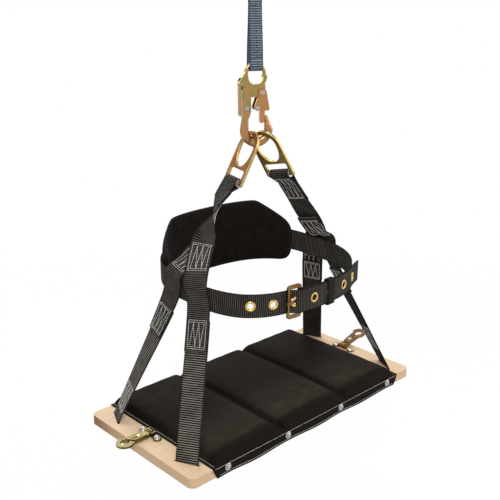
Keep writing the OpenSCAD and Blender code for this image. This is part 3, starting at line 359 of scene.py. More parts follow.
def belt_point(deg):
    """The belt's oval: a rounded rectangle of power BELT_N, higher at the back."""
    c, s = np.cos(np.radians(deg)), np.sin(np.radians(deg))
    return np.stack([
        BELT_X + BELT_A * signed_power(c, 2 / BELT_N),
        BELT_Y + BELT_B * signed_power(s, 2 / BELT_N),
        BELT_Z + BELT_TILT * s,
    ], axis=-1)


def belt_out(deg):
    """Level direction out of the oval: the chord round a place crossed with up."""
    return unit(np.cross(belt_point(deg + 1) - belt_point(deg - 1), UP))


BELT_ANGLES = np.linspace(-90, 270, 121)
BELT_SUMS = run_of(belt_point(BELT_ANGLES))
BELT_LENGTH = BELT_SUMS[-1]
BAR_OFF = -(BUCKLE_BAR / 2 + LAP_GAP + WEB_T / 2)
CATCH_OFF = BAR_OFF - (BUCKLE_BAR / 2 + GAP + WEB_T / 2)
PRONG_S = PIVOT_S - BUCKLE_L / 2


def belt_mid(s):
    """Point of the oval at a length from its front middle."""
    return belt_point(np.interp(np.mod(s, BELT_LENGTH), BELT_SUMS, BELT_ANGLES))


def belt_axes(s):
    """Along, up and outward directions of the belt."""
    s = np.asarray(s, float)
    along = unit(belt_mid(s + 2) - belt_mid(s - 2))
    out = unit(np.cross(along, UP))
    return along, np.cross(out, along), out


def belt_off(q):
    """How far the belt lies outside the oval, by its length q from the buckle's pivot: on it, then behind the
    buckle, then over the first layer."""
    l, catch = BELT_LENGTH, BELT_LENGTH - BUCKLE_L
    places = [0, catch - 90, catch - 4, catch + 3, l - 3, 2 * l]
    return np.interp(q, places, [0, 0, CATCH_OFF, CATCH_OFF, BELT_LAY, BELT_LAY])


def belt_rows(q):
    """Frames of the belt at the lengths q."""
    s = PIVOT_S + np.asarray(q, float)
    _, up, out = belt_axes(s)
    return np.stack([belt_mid(s) + out * belt_off(q)[:, None], up, out], axis=1)


def belt_route():
    """Frames of the whole belt: sewn end, fold round the buckle's bar, the loop and the free end, which flares."""
    along, up, out = belt_axes(PIVOT_S)
    sewn = turned_back(shifted(belt_rows(np.array([15.0, 24.0, 34.0])), -BELT_LAY))
    turn = half_fold(belt_mid(PIVOT_S) + out * BAR_OFF, up, out, along, -BAR_OFF)
    l = BELT_LENGTH
    q = np.concatenate([
        np.arange(6, l - BUCKLE_L - 60 + 0.01, 12),
        np.arange(l - BUCKLE_L - 48, l + 12.01, 8),
        np.arange(l + 24, l + TAIL_S - PIVOT_S + 0.01, 12),
    ])
    loop = belt_rows(q)
    flare = TAIL_FLARE * smooth_step((q - l + PIVOT_S - TAIL_FLARE_S) / TAIL_FLARE_RUN)
    loop[:, 0] += loop[:, 2] * flare[:, None]
    return np.concatenate([sewn, turn, loop])


def round_edge(d):
    """Quarter round: 0 at the edge and 1 a foam radius further in."""
    return np.sqrt(1 - (1 - np.clip(d / FOAM_R, 0, 1)) ** 2)


def cushion_share(x, y):
    """How full the cushion is at a place, from 0 on the hems to 1 inside a section."""
    ax, half = np.abs(x), CHANNEL_W / 2
    edge = np.where(ax < CHANNEL_X, CHANNEL_X - half - ax, np.minimum(ax - CHANNEL_X - half, FOAM_X - ax))
    low = np.where(ax < FOAM_X - FOAM_R, CHANNEL_FLOOR, 0.0)
    return np.maximum(round_edge(edge + FOAM_R * 0.12), low) * round_edge(HALF_D - np.abs(y) + 1)


def cushion_top(x, y, share):
    """Height of the cushion over the board: three crowned sections, pinched where a channel meets the front or back
    edge, with puckers that are strongest a little inside the sewn edges."""
    crown = FOAM_CROWN * (1 - (x / FOAM_X) ** 2 * 0.5) * (1 - (2 * y / BOARD_D) ** 2)
    pinch = np.exp(-((np.abs(np.abs(x) - CHANNEL_X) / PINCH_W) ** 2)) * smooth_step((np.abs(y) - HALF_D + 22) / 14)
    edge = np.minimum(HALF_D - np.abs(y), FOAM_X - np.abs(x))
    pucker = np.sin(x / 7.3 + 1.7 * np.sin(x / 31.0)) + np.sin(y / 6.1 + 1.3 * np.sin(y / 27.0))
    top = (FOAM_H + crown) * share * SEAT_START * (1 - PINCH * pinch)
    return top + PUCKER * pucker * np.exp(-np.abs(edge - PUCKER_IN) / 6.0) * smooth_step(share * 2)


def flap_hang(x, deep):
    """How far a flap of the cover stands out and hangs down between its screws, at a share of its depth."""
    droop = np.sin(np.pi * (x / SCREW_STEP - 0.5)) ** 2 * (0.75 + 0.25 * np.sin(x / 41.0))
    return FLAP_BULGE * droop * np.sin(np.pi * deep * 0.8), FLAP_SAG * droop * deep**2


def cover_flap(xs, s, slant):
    """Points of the front (s = -1) or back flap: its wall down the board's edge, its turn below the board, and the
    cover's inner face back up. Its ends lean in by the slant."""
    x = xs[:, None]
    lean = (-np.sign(xs) * slant * smooth_step((np.abs(xs) - COVER_X + SLANT_RUN) / SLANT_RUN))[:, None]
    fall = np.array([[BOARD_T, 16.0, 13.0, 10.0, 7.0, 4.5, 2.0, 0.0, -0.9, -1.3]])
    low = np.clip(1 - fall / BOARD_T, 0, 1)
    out, down = flap_hang(x, low)
    sag = flap_hang(x, 1.0)[1]
    y = HALF_D + COVER_T
    wall = (x + lean * low**1.6, s * (y + out), fall - down)
    under_y = np.array([[y - 1.4, HALF_D - 5, HALF_D - 11, HALF_D - FLAP_W]])
    under = (x + lean, s * under_y, -COVER_T - sag * np.array([[1.0, 0.8, 0.35, 0.0]]))
    back_y = np.array([[HALF_D - FLAP_W, HALF_D + 0.1, HALF_D + 0.1]])
    back = (x + lean * np.array([[1, 1, 0]]), s * back_y, np.array([[-0.1, -0.1, BOARD_T + 0.1]]))
    return [np.stack(np.broadcast_arrays(*part), -1) for part in (wall, under, back)]


def pad_point(c, r, depth):
    """Back pad: c runs from end to end along the belt's oval, r from the lower to the upper edge, and depth is out
    of the pad's middle face, in millimetres towards the belt."""
    deg = 90 - PAD_TURN * c
    out = belt_out(deg)
    slope = np.maximum(0, np.abs(c - PAD_SKEW) - PAD_FLAT) / (1 - PAD_FLAT)
    top = PAD_LOW + mix(PAD_H, PAD_END_H, slope) - 10 * np.abs(c) ** 40
    low = PAD_LOW + 18 * np.abs(c) ** 30
    p = belt_point(deg) + out * (-PAD_BACK - PAD_T / 2 + depth)[..., None]
    p[..., 2] = mix(low, top, r)
    return p, out


def pad_half(c, r):
    """Half the pad's thickness: full inside, and the edge's thickness at the rim."""
    return mix(PAD_EDGE, PAD_T, (1 - np.abs(2 * r - 1) ** 5) * (1 - np.abs(c) ** 14)) / 2


def rounded(points, r):
    """A closed outline whose corners are cut by quadratic arcs that start a length r, or less, from each corner."""
    p = np.asarray(points, float)

    def arm(q):
        far = np.maximum(np.linalg.norm(q - p, axis=1), 1e-9)
        return (q - p) * np.minimum(r / far, 0.45)[:, None]

    before, after = p + arm(np.roll(p, 1, 0)), p + arm(np.roll(p, -1, 0))
    f = np.linspace(0, 1, 5)[None, :, None]
    return ((1 - f) ** 2 * before[:, None] + 2 * f * (1 - f) * p[:, None] + f**2 * after[:, None]).reshape(-1, 2)


def ring_lines():
    """Outline and eye of a ring plate, X along its bar and Y up. The eye is a half circle over a longer half oval."""
    top = RING_H - EYE_W / 2 - RING_RIM
    t = np.radians(np.linspace(0, 180, 41))[:, None]
    arc = np.hstack([(EYE_W / 2 + RING_RIM) * np.cos(t), top + (EYE_W / 2 + RING_RIM) * np.sin(t)])
    left_foot = np.array([(-FOOT, 0), (-FOOT, -FOOT_LOW), (-WINDOW_U, -FOOT_LOW), (-WINDOW_U, WINDOW_Y)])
    e = np.radians(np.linspace(0, 360, 72, endpoint=False))[:, None]
    low = np.sin(e) < 0
    power = np.where(low, EYE_POWER, 1.0)
    eye = np.hstack([
        EYE_W / 2 * signed_power(np.cos(e), power),
        top + np.where(low, top - EYE_LOW, EYE_W / 2) * signed_power(np.sin(e), power),
    ])
    return rounded(np.concatenate([arc, left_foot, left_foot[::-1] * (-1, 1)]), 2.2), eye


def hook_point(u, v, k):
    """Place on the hook: u across it, v up from its bowl and k through it."""
    a = math.radians(HOOK_TURN)
    across, through = np.array([math.cos(a), math.sin(a), 0.0]), np.array([math.sin(a), -math.cos(a), 0.0])
    return HOOK_AT + np.multiply.outer(u, across) + np.multiply.outer(v, UP) + np.multiply.outer(k, through)


def lanyard_apart(v):
    """Half the distance between the lanyard's layers: the eye's radius below, closing to nothing above."""
    return mix(LANYARD_R_LOW * 0.92, LANYARD_T / 2 + 0.05, smooth_step((v - LANYARD_LOW - 8) / 96))


def lanyard_route():
    """Frames of the lanyard's closed band: up one side, round the upper eye, down the other and round the lower eye."""
    upper, lower = np.radians(np.arange(-37, 218, 8.5)), np.radians(np.arange(180, 361, 12))
    rise = np.linspace(LANYARD_LOW + 12, LANYARD_HIGH - 46, 16)
    fall = np.linspace(LANYARD_HIGH - 46, LANYARD_LOW + 12, 16)
    path = np.concatenate([
        np.stack([lanyard_apart(rise), rise], 1),
        np.stack([LANYARD_R_HIGH * np.cos(upper), LANYARD_HIGH + LANYARD_R_HIGH * np.sin(upper)], 1),
        np.stack([-lanyard_apart(fall), fall], 1),
        np.stack([LANYARD_R_LOW * np.cos(lower), LANYARD_LOW + LANYARD_R_LOW * np.sin(lower)], 1),
    ])
    path = curve(np.concatenate([path, path[:1]]), 3)[:-1]
    d = unit(np.roll(path, -1, 0) - np.roll(path, 1, 0))
    none = np.zeros(len(path))
    mid = hook_point(none, path[:, 1], path[:, 0])
    across = np.tile(unit(hook_point(1.0, 0.0, 0.0) - HOOK_AT), (len(path), 1))
    return np.stack([mid, across, unit(hook_point(none, -d[:, 0], d[:, 1]) - HOOK_AT)], axis=1)


def keeper_route():
    """Frames round the keeper's loop: a rounded box about the belt's two layers."""
    along, up, out = belt_axes(KEEPER_S)
    t = full_turn(64)
    high, deep = signed_power(np.cos(t), 0.16) * KEEPER_HIGH, signed_power(np.sin(t), 0.3) * KEEPER_DEEP
    box = np.stack([high, deep], 1)
    d = unit(np.roll(box, -1, 0) - np.roll(box, 1, 0))
    mid = belt_mid(KEEPER_S) + out * BELT_LAY / 2
    return np.stack([
        mid + np.outer(high, up) + np.outer(deep, out),
        np.tile(along, (len(t), 1)),
        np.outer(d[:, 1], up) - np.outer(d[:, 0], out),
    ], axis=1)


def loop_route(deg):
    """Frames of a pad loop: sewn to the pad above and below the belt, and over the belt's outer face between."""
    out = belt_out(deg)
    inner, outer, reach = -PAD_BACK + WEB_T / 2 + GAP, WEB_T + 2 * GAP, WEB_W / 2 + 2
    off = [inner, inner, outer, outer, inner, inner]
    height = [reach + 14, reach + 6, reach, -reach, -reach - 6, -reach - 10]
    return frames(np.array([place(belt_point(deg) + out * k + UP * h, np.cross(UP, out)) for k, h in zip(off, height)]))


# Mesh making


def flat_profile(w, t):
    """Section of a webbing: a superellipse, nearly a flat bar, with soft edges."""
    a = full_turn(28) + np.pi / 28
    return np.stack([w / 2 * signed_power(np.cos(a), 0.32), t / 2 * signed_power(np.sin(a), 0.28)], axis=1)


def even_profile(n):
    """Section of the belt: points evenly spread over both faces, so that eyelets can be cut, and thin edges."""
    a = full_turn(n) + np.pi / n
    across = np.clip((np.abs(np.mod(a / (np.pi / 2), 4) - 2) - 1) * 1.06, -1, 1)
    return np.stack([across * WEB_W / 2, WEB_T / 2 * np.sign(np.sin(a)) * (1 - np.abs(across) ** 16) ** 0.5], 1)


def carried(f, profile):
    """Profile carried along frames: middle + first number x width direction + second number x normal. The map's u is
    the place across and v the length along, both in metres."""
    p = f[:, None, 0] + f[:, None, 1] * profile[None, :, 0:1] + f[:, None, 2] * profile[None, :, 1:2]
    u, v = np.broadcast_arrays(profile[None, :, 0], run_of(f[:, 0])[:, None])
    return p, np.stack([u, v], axis=-1) * MM


def grid_faces(n, k, ring, loop):
    """Four-sided faces of a grid of n rows of k points. Ring closes each row; loop joins the last row to the first."""
    i, j = np.meshgrid(np.arange(n if loop else n - 1), np.arange(k if ring else k - 1), indexing="ij")
    a = np.stack([i, i, i + 1, i + 1], -1)
    b = np.stack([j, j + 1, j + 1, j], -1)
    return a.reshape(-1, 4), b.reshape(-1, 4)


def in_scene(name, data):
    """A new object of the scene."""
    made = bpy.data.objects.new(name, data)
    bpy.context.scene.collection.objects.link(made)
    return made


def new_piece(name, verts, faces, uv=None, smooth=True):
    """A piece from points in millimetres of the seat's frame, put into the hanging frame in metres."""
    mesh = bpy.data.meshes.new(name)
    mesh.from_pydata(((np.asarray(verts, float) + SEAT_TO_HANG) * MM).tolist(), [], faces)
    if uv is not None:
        layer = mesh.uv_layers.new(name="UVMap")
        layer.data.foreach_set("uv", np.asarray(uv, np.float32).ravel())
    mesh.polygons.foreach_set("use_smooth", np.full(len(mesh.polygons), smooth))
    mesh.update()
    return in_scene(name, mesh)


def grid_piece(name, p, uv=None, ring=False, loop=False, ends=False, keep=None):
    """A piece from a grid of points, with its faces outwards. Where a loop joins up, the map carries on without a jump.
    Keep says which faces stay."""
    n, k = p.shape[:2]
    a, b = grid_faces(n, k, ring, loop)
    if keep is not None:
        kept = keep(a, b)
        a, b = a[kept], b[kept]
    faces = ((a % n) * k + b % k).tolist()
    if ends:
        faces += [list(range(k))[::-1], list(range((n - 1) * k, n * k))]
    corner = None
    if uv is not None:
        rows = np.concatenate([uv, (uv[-1] + (uv[1] - uv[0]))[None]]) if loop else uv
        rows = np.concatenate([rows, rows[:, :1]], axis=1) if ring else rows
        corner = rows[a, b].reshape(-1, 2)
        if ends:
            corner = np.concatenate([corner, uv[0][::-1], uv[-1]])
    return facing_out(new_piece(name, p.reshape(-1, 3), faces, corner))


def edited(mesh, change):
    """Lets a function change a mesh."""
    bm = bmesh.new()
    bm.from_mesh(mesh)
    change(bm)
    bm.to_mesh(mesh)
    bm.free()


def points_of(mesh):
    """Places of a mesh's points, as rows."""
    co = np.empty(len(mesh.vertices) * 3, np.float32)
    mesh.vertices.foreach_get("co", co)
    return co.reshape(-1, 3)


def facing_out(piece):
    """Turns all the faces of a piece outwards."""
    edited(piece.data, lambda bm: bmesh.ops.recalc_face_normals(bm, faces=bm.faces))
    return piece


def strap_piece(name, f, w, t, steps):
    """A webbing along frames, with closed ends."""
    p, uv = carried(fine(f, steps), flat_profile(w, t))
    return grid_piece(name, p, uv, ring=True, ends=True)


def spindle():
    """One stitch: a thread that dips at both ends, as a closed five-sided spindle along X. Points, ends and sides."""
    rows = [(-0.82, 0.62, -0.25), (-0.3, 1.0, 0.1), (0.3, 1.0, 0.1), (0.82, 0.62, -0.25)]
    sides = [(x, r * math.cos(a), r * math.sin(a) + z) for x, r, z in rows for a in full_turn(5)]
    j, after = np.arange(5), (np.arange(5) + 1) % 5
    ends = [np.stack([0 * j, 1 + after, 1 + j], 1), np.stack([0 * j + 21, 16 + j, 16 + after], 1)]
    walls = [np.stack([j, after, after + 5, j + 5], 1) + k for k in (1, 6, 11)]
    return np.array([(-1, 0, -0.7), *sides, (1, 0, -0.7)]), np.concatenate(ends), np.concatenate(walls)


def stitch_piece(name, runs, pitch, length, radius):
    """Stitches along runs of (points, normals): each is the spindle turned along the run and set on its face."""
    mids, along, up = [], [], []
    for p, n in runs:
        s = run_of(p)
        count = max(1, int(s[-1] // pitch))
        m = (np.arange(count) + 0.5) * s[-1] / count
        mids.append(at_lengths(m, s, p))
        along.append(unit(at_lengths(m + 0.4, s, p) - at_lengths(m - 0.4, s, p)))
        up.append(at_lengths(m, s, n))
    mids, along, up = np.concatenate(mids), np.concatenate(along), np.concatenate(up)
    up = unit(square_to(up, along))
    one, *parts = spindle()
    q = one * np.array([length / 2, radius, radius])
    verts = mids[:, None]
    for axis, far in zip((along, np.cross(up, along), up), q.T):
        verts = verts + axis[:, None] * far[None, :, None]
    first = len(one) * np.arange(len(mids))[:, None, None]
    faces = [f for part in parts for f in (part + first).reshape(-1, part.shape[1]).tolist()]
    return new_piece(name, verts.reshape(-1, 3), faces)


def on_strap(f, s, a, lift):
    """Places and normals on a strap's face, at length s and place a across."""
    mid, w, n = (at_lengths(s, run_of(f[:, 0]), f[:, j]) for j in range(3))
    w, n = unit(w), unit(n)
    return mid + w * np.asarray(a)[:, None] + n * lift, n * np.sign(lift)


def box_runs(f, s0, s1, lift):
    """A sewn box on a strap's face: an outline, a second row at each end, and a zigzag between the ends."""
    def run(corners):
        c = np.asarray(corners, float)
        t = np.linspace(0, len(c) - 1, 24 * (len(c) - 1) + 1)
        s, a = np.interp(t, np.arange(len(c)), c[:, 0]), np.interp(t, np.arange(len(c)), c[:, 1])
        return on_strap(f, s, a, lift)

    half, inside = BOX_HALF, BOX_HALF - 4
    box = [(s0, -half), (s1, -half), (s1, half), (s0, half), (s0, -half)]
    rows = [[(s, -half), (s, half)] for s in (s0 + BOX_ROW, s1 - BOX_ROW)]
    turns = range(BOX_STROKES + 1)
    zig = [(s0 + BOX_ZIG if k % 2 else s1 - BOX_ZIG, mix(-inside, inside, k / BOX_STROKES)) for k in turns]
    return [run(line) for line in (box, *rows, zig)]


def even_shading(piece):
    """Shades flat faces flat beside rounded edges."""
    piece.modifiers.new("even", "WEIGHTED_NORMAL").keep_sharp = False
    return piece


def stamped_plate(name, lines, thick, edge, at, axes):
    """A plate between closed flat outlines, with rounded edges: at + x, y and z along its three axes."""
    path = bpy.data.curves.new(name, "CURVE")
    path.dimensions, path.fill_mode = "2D", "BOTH"
    path.extrude, path.bevel_depth, path.bevel_resolution, path.offset = thick / 2 - edge, edge, 2, -edge
    for line in lines:
        spline = path.splines.new("POLY")
        spline.points.add(len(line) - 1)
        spline.points.foreach_set("co", np.hstack([line, np.zeros((len(line), 1)), np.ones((len(line), 1))]).ravel())
        spline.use_cyclic_u = True
    flat = in_scene(name + "_flat", path)
    bpy.context.view_layer.update()
    shaped = bpy.data.meshes.new_from_object(flat.evaluated_get(bpy.context.evaluated_depsgraph_get()))
    edited(shaped, lambda bm: bmesh.ops.remove_doubles(bm, verts=bm.verts, dist=1e-3))
    co, faces = points_of(shaped).astype(float), [list(face.vertices) for face in shaped.polygons]
    bpy.data.objects.remove(flat)
    bpy.data.meshes.remove(shaped)
    return even_shading(facing_out(new_piece(name, at + co @ np.asarray(axes), faces)))


def turned_rims(name, mids, axes, profile):
    """Closed profiles of (radius, height) turned about several axes: mid + radius round the axis + height along it."""
    n, k = 36, len(profile)
    along, up, out = (np.asarray(v)[:, None, None] for v in axes)
    t = full_turn(n)[None, :, None, None]
    r, h = profile[None, None, :, 0:1], profile[None, None, :, 1:2]
    p = mids[:, None, None] + (along * np.cos(t) + up * np.sin(t)) * r + out * h
    a, b = grid_faces(n, k, True, True)
    one = (a % n) * k + b % k
    faces = (one[None] + (np.arange(len(mids)) * n * k)[:, None, None]).reshape(-1, 4)
    return facing_out(new_piece(name, p.reshape(-1, 3), faces.tolist()))


def swell(piece, free, pressure, cap):
    """Cloth under pressure: points swell by how free they are, no further than the cap, and the result is kept."""
    scene, mesh = bpy.context.scene, piece.data
    before = points_of(mesh)
    held = piece.vertex_groups.new(name="held")
    level = np.round((1 - np.clip(free, 0, 1)) * 10).astype(int)
    for step in range(1, 11):
        held.add(np.nonzero(level == step)[0].tolist(), step / 10, "REPLACE")
    cloth = piece.modifiers.new("swell", "CLOTH")
    set_up = cloth.settings
    set_up.quality = 5
    set_up.mass = 0.25
    set_up.tension_stiffness = set_up.compression_stiffness = 18
    set_up.shear_stiffness = 8
    set_up.bending_stiffness = 1.2
    set_up.use_pressure = True
    set_up.uniform_pressure_force = pressure
    set_up.vertex_group_mass = "held"
    set_up.effector_weights.gravity = 0
    cloth.collision_settings.use_collision = False
    for k in range(1, SWELL_FRAMES + 1):
        scene.frame_set(k)
    shaped = piece.evaluated_get(bpy.context.evaluated_depsgraph_get()).to_mesh()
    move = points_of(shaped) - before
    far = np.linalg.norm(move, axis=1, keepdims=True)
    limit = cap * MM
    move *= limit * np.tanh(far / limit) / np.maximum(far, 1e-9)
    piece.modifiers.remove(cloth)
    piece.vertex_groups.remove(held)
    mesh.vertices.foreach_set("co", (before + move).ravel())
    mesh.update()
    scene.frame_set(1)


def softened(node, width):
    """A copy of a hard CAD node with its edges rounded, which stands for it."""
    mesh = frame["nodes"][node].data.copy()
    mesh.materials.clear()

    def join(bm):
        bmesh.ops.remove_doubles(bm, verts=bm.verts, dist=MERGE_GAP)
        bmesh.ops.dissolve_limit(bm, angle_limit=math.radians(FLAT_ANGLE), verts=bm.verts, edges=bm.edges)

    edited(mesh, join)
    mesh.polygons.foreach_set("use_smooth", np.ones(len(mesh.polygons), bool))
    piece = in_scene(node + "_shaped", mesh)
    edge = piece.modifiers.new("edge", "BEVEL")
    edge.width, edge.segments, edge.use_clamp_overlap = width * MM, 2, True
    edge.limit_method, edge.angle_limit = "ANGLE", math.radians(EDGE_ANGLE)
    even_shading(piece)
    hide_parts(node)
    return piece


def body_of(node):
    """The body that a CAD node rides on."""
    return next(b for b, nodes in frame["record"]["behaviour"]["bodies"].items() if node in nodes)


def dress(piece, finish, body, slot):
    """Gives a piece its finish and its body. Its slot of the record is not used."""
    piece.data.materials.clear()
    piece.data.materials.append(finish)
    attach(piece, body)
    return piece


# Finishes


class Value:
    """A shader socket in Python expressions. Each operation on values adds a Math node."""

    def __init__(self, tree, socket):
        self.tree, self.socket = tree, socket

    def out(self, name):
        return Value(self.tree, self.socket.node.outputs[name])

    def math(self, operation, *others):
        return self.tree.node("ShaderNodeMath", {"operation": operation}, dict(enumerate((self, *others))))

    def __add__(self, other):
        return self.math("ADD", other)

    __radd__ = __add__

    def __mul__(self, other):
        return self.math("MULTIPLY", other)

    __rmul__ = __mul__

    def __sub__(self, other):
        return self.math("SUBTRACT", other)

    def __rsub__(self, other):
        return self * -1 + other

    def __pow__(self, other):
        return self.math("POWER", other)

    def __abs__(self):
        return self.math("ABSOLUTE")

    def wave(self):
        """A cosine wave between 0 and 1."""
        return self.math("COSINE") * 0.5 + 0.5

    def step(self, low, high):
        """0 at low, 1 at high, smooth between."""
        ends = {"Value": self, "From Min": low, "From Max": high}
        return self.tree.node("ShaderNodeMapRange", {"interpolation_type": "SMOOTHSTEP"}, ends)


class Finish:
    """The nodes of a material, or of the world, built by expressions."""

    SOCKETS = {
        "colour": "Base Color", "rough": "Roughness", "metal": "Metallic", "normal": "Normal",
        "specular": "Specular IOR Level",
    }

    def __init__(self, owner):
        owner.use_nodes = True
        self.owner, self.tree = owner, owner.node_tree
        self.tree.nodes.clear()

    def node(self, kind, settings=None, inputs=None, out=0):
        made = self.tree.nodes.new(kind)
        for key, value in (settings or {}).items():
            setattr(made, key, value)
        for key, value in (inputs or {}).items():
            if isinstance(value, Value):
                self.tree.links.new(value.socket, made.inputs[key])
            else:
                made.inputs[key].default_value = value
        return Value(self, made.outputs[out])

    def spot(self):
        return self.node("ShaderNodeTexCoord", out="Object")

    def axes(self, vector):
        """The three numbers of a vector."""
        parts = self.node("ShaderNodeSeparateXYZ", inputs={0: vector})
        return [parts.out(axis) for axis in "XYZ"]

    def facing(self):
        return self.axes(self.node("ShaderNodeTexCoord", out="Normal"))

    def stretched(self, vector, scale):
        return self.node("ShaderNodeMapping", inputs={"Vector": vector, "Scale": scale})

    def noise(self, vector, scale, detail=2.0, rough=0.5):
        inputs = {"Vector": vector, "Scale": scale, "Detail": detail, "Roughness": rough}
        return self.node("ShaderNodeTexNoise", inputs=inputs)

    def cells(self, vector, scale):
        return self.node("ShaderNodeTexVoronoi", inputs={"Vector": vector, "Scale": scale})

    def blend(self, factor, a, b):
        return self.node("ShaderNodeMix", {"data_type": "RGBA"}, {0: factor, 6: a, 7: b}, out=2)

    def bump(self, height, strength, distance):
        return self.node("ShaderNodeBump", inputs={"Height": height, "Strength": strength, "Distance": distance})

    def seen(self):
        """1 where the background itself shows: to the camera, in gloss and through clear things."""
        rays = self.node("ShaderNodeLightPath")
        shown = rays.out("Is Camera Ray") + rays.out("Is Glossy Ray") + rays.out("Is Transmission Ray")
        return shown.math("MINIMUM", 1.0)

    def show(self, shader, kind="ShaderNodeOutputMaterial"):
        """Ends in a shader."""
        end = self.tree.nodes.new(kind)
        self.tree.links.new(shader.socket, end.inputs["Surface"])
        return self.owner

    def end(self, **sockets):
        """Ends in a principled shader."""
        inputs = {self.SOCKETS[k]: v for k, v in sockets.items()}
        return self.show(self.node("ShaderNodeBsdfPrincipled", inputs=inputs))


def new_finish(name):
    """An empty finish with a material of its own."""
    return Finish(bpy.data.materials.new(name))


def tone(colour, times=1.0, plus=0.0):
    """A colour with full alpha, made stronger or weaker."""
    return (*(c * times + plus for c in tuple(colour)[:3]), 1.0)


def webbing_finish(name, dark, light, pitch, half, glint, shade_from=None):
    """Ribbed webbing: weft ribs across it, yarns along them, plain woven edges and a little fuzz. The ribs' crests
    carry a painted highlight, patchy and as strong as the glint; the last argument is the run along the strap over
    which that highlight fades to painted shade."""
    f = new_finish(name)
    place_on = f.node("ShaderNodeUVMap", {"uv_map": "UVMap"})
    u, v, _ = f.axes(place_on)
    fuzz = f.noise(place_on, 700.0, 3.0)
    rib = ((v + fuzz * (pitch * 0.10)) * (2 * math.pi / pitch)).wave()
    yarn = (u * (2 * math.pi / 0.0019)).wave()
    edge = abs(u).step(half - 0.0026, half - 0.0014)
    # Painted highlight: the ribs' crests are lighter in colour, patchy at random and as strong as the glint.
    crest = (rib**4) * (yarn * 0.4 + 0.6) * (1 - edge * 0.8)
    highlight_patches = f.noise(place_on, 35.0, 3.0).step(0.3, 0.75)
    crest = crest * (highlight_patches * 0.5 + 0.5) * glint
    # Painted shade: further along the strap the crests' painted highlight fades.
    if shade_from:
        crest = crest * (1 - v.step(*shade_from) * 0.75)
    colour = f.blend(crest, tone(dark), tone(light))
    height = rib * 0.7 * (1 - edge) + yarn * 0.2 + fuzz * 0.25
    return f.end(colour=colour, rough=rib * -0.12 + 0.82, normal=f.bump(height, 0.7, 0.0007), specular=0.09)


def vinyl_finish(name, colour):
    """Coated black cloth: fine pebble grain, faint scuffs, specks, and a painted sheen in a paler band near the front
    edge, which leaves out the very front edge and the channels."""
    f = new_finish(name)
    spot = f.spot()
    grain = f.cells(spot, 900.0)
    scuff = f.noise(f.stretched(spot, (9.0, 16.0, 9.0)), 3.0, 4.0, 0.6)
    fine_grain = f.noise(spot, 2600.0, 2.0)
    speck = f.noise(spot, 420.0, 1.0).step(0.74, 0.8)
    dust = scuff.step(0.35, 0.8)
    x, y, _ = f.axes(spot)
    # Painted sheen: a paler band near the sections' front edge, leaving out the very front edge and the channels.
    front_sheen = (1 - y.step(-0.13, 0.0)) * y.step(-0.152, -0.134) * abs(abs(x) - CHANNEL_X * MM).step(0.002, 0.016)
    pale = (dust * 0.45 + 0.45) * front_sheen + dust * 0.06 + speck * 0.12
    shade = f.blend(pale, tone(colour), tone(colour, 3.4, 0.008))
    height = grain * 0.6 + fine_grain * 0.4
    return f.end(colour=shade, rough=0.56 + dust * 0.14, normal=f.bump(height, 0.22, 0.0004), specular=0.025)


def pad_finish(name, colour):
    """Matt padded cloth: close knit with a faint nap."""
    f = new_finish(name)
    spot = f.spot()
    x, _, z = f.axes(spot)
    knit = ((x + z) * 3600.0).wave() * ((x - z) * 3600.0).wave()
    nap = f.noise(spot, 60.0, 4.0, 0.6)
    shade = f.blend(nap.step(0.4, 0.8) * 0.5 + knit * 0.2, tone(colour), tone(colour, 2.0, 0.003))
    return f.end(colour=shade, rough=0.8, normal=f.bump(knit * 0.6 + nap * 0.4, 0.25, 0.0004), specular=0.06)


def zinc_finish(name, gold, green, rose, shift, rough=0.26, fall=None):
    """Yellow chromated zinc: gold with drifting green and rose bloom, fine pitting and duller hollows. Fall is where a
    piece turns rose towards its lower end."""
    f = new_finish(name)
    spot = f.spot()
    drift = f.noise(spot, 38.0, 3.0, 0.55)
    bloom = f.noise(f.stretched(spot, (1.3, 0.8, 1.1)), 62.0, 2.0, 0.5)
    colour = f.blend((drift + shift).step(0.42, 0.6) * 0.9, tone(gold), tone(green))
    colour = f.blend((bloom + shift).step(0.48, 0.62) * 0.75, colour, tone(rose))
    if fall:
        low = f.axes(spot)[2].step(*fall)
        colour = f.blend(low * (drift * 0.6 + 0.45), colour, tone(rose, 0.86))
    dull = f.noise(spot, 140.0, 3.0) * 0.14 + rough
    return f.end(colour=colour, metal=1.0, rough=dull, normal=f.bump(f.noise(spot, 1500.0, 2.0), 0.03, 0.0003))


def steel_finish(name, colour, rough):
    """Bright plated metal with faint turning marks."""
    f = new_finish(name)
    marks = f.noise(f.stretched(f.spot(), (1.0, 1.0, 6.0)), 500.0, 2.0)
    shade = f.blend(marks * 0.35, tone(colour), tone(colour, 0.7))
    return f.end(colour=shade, metal=1.0, rough=marks * 0.12 + rough, normal=f.bump(marks, 0.05, 0.0002))


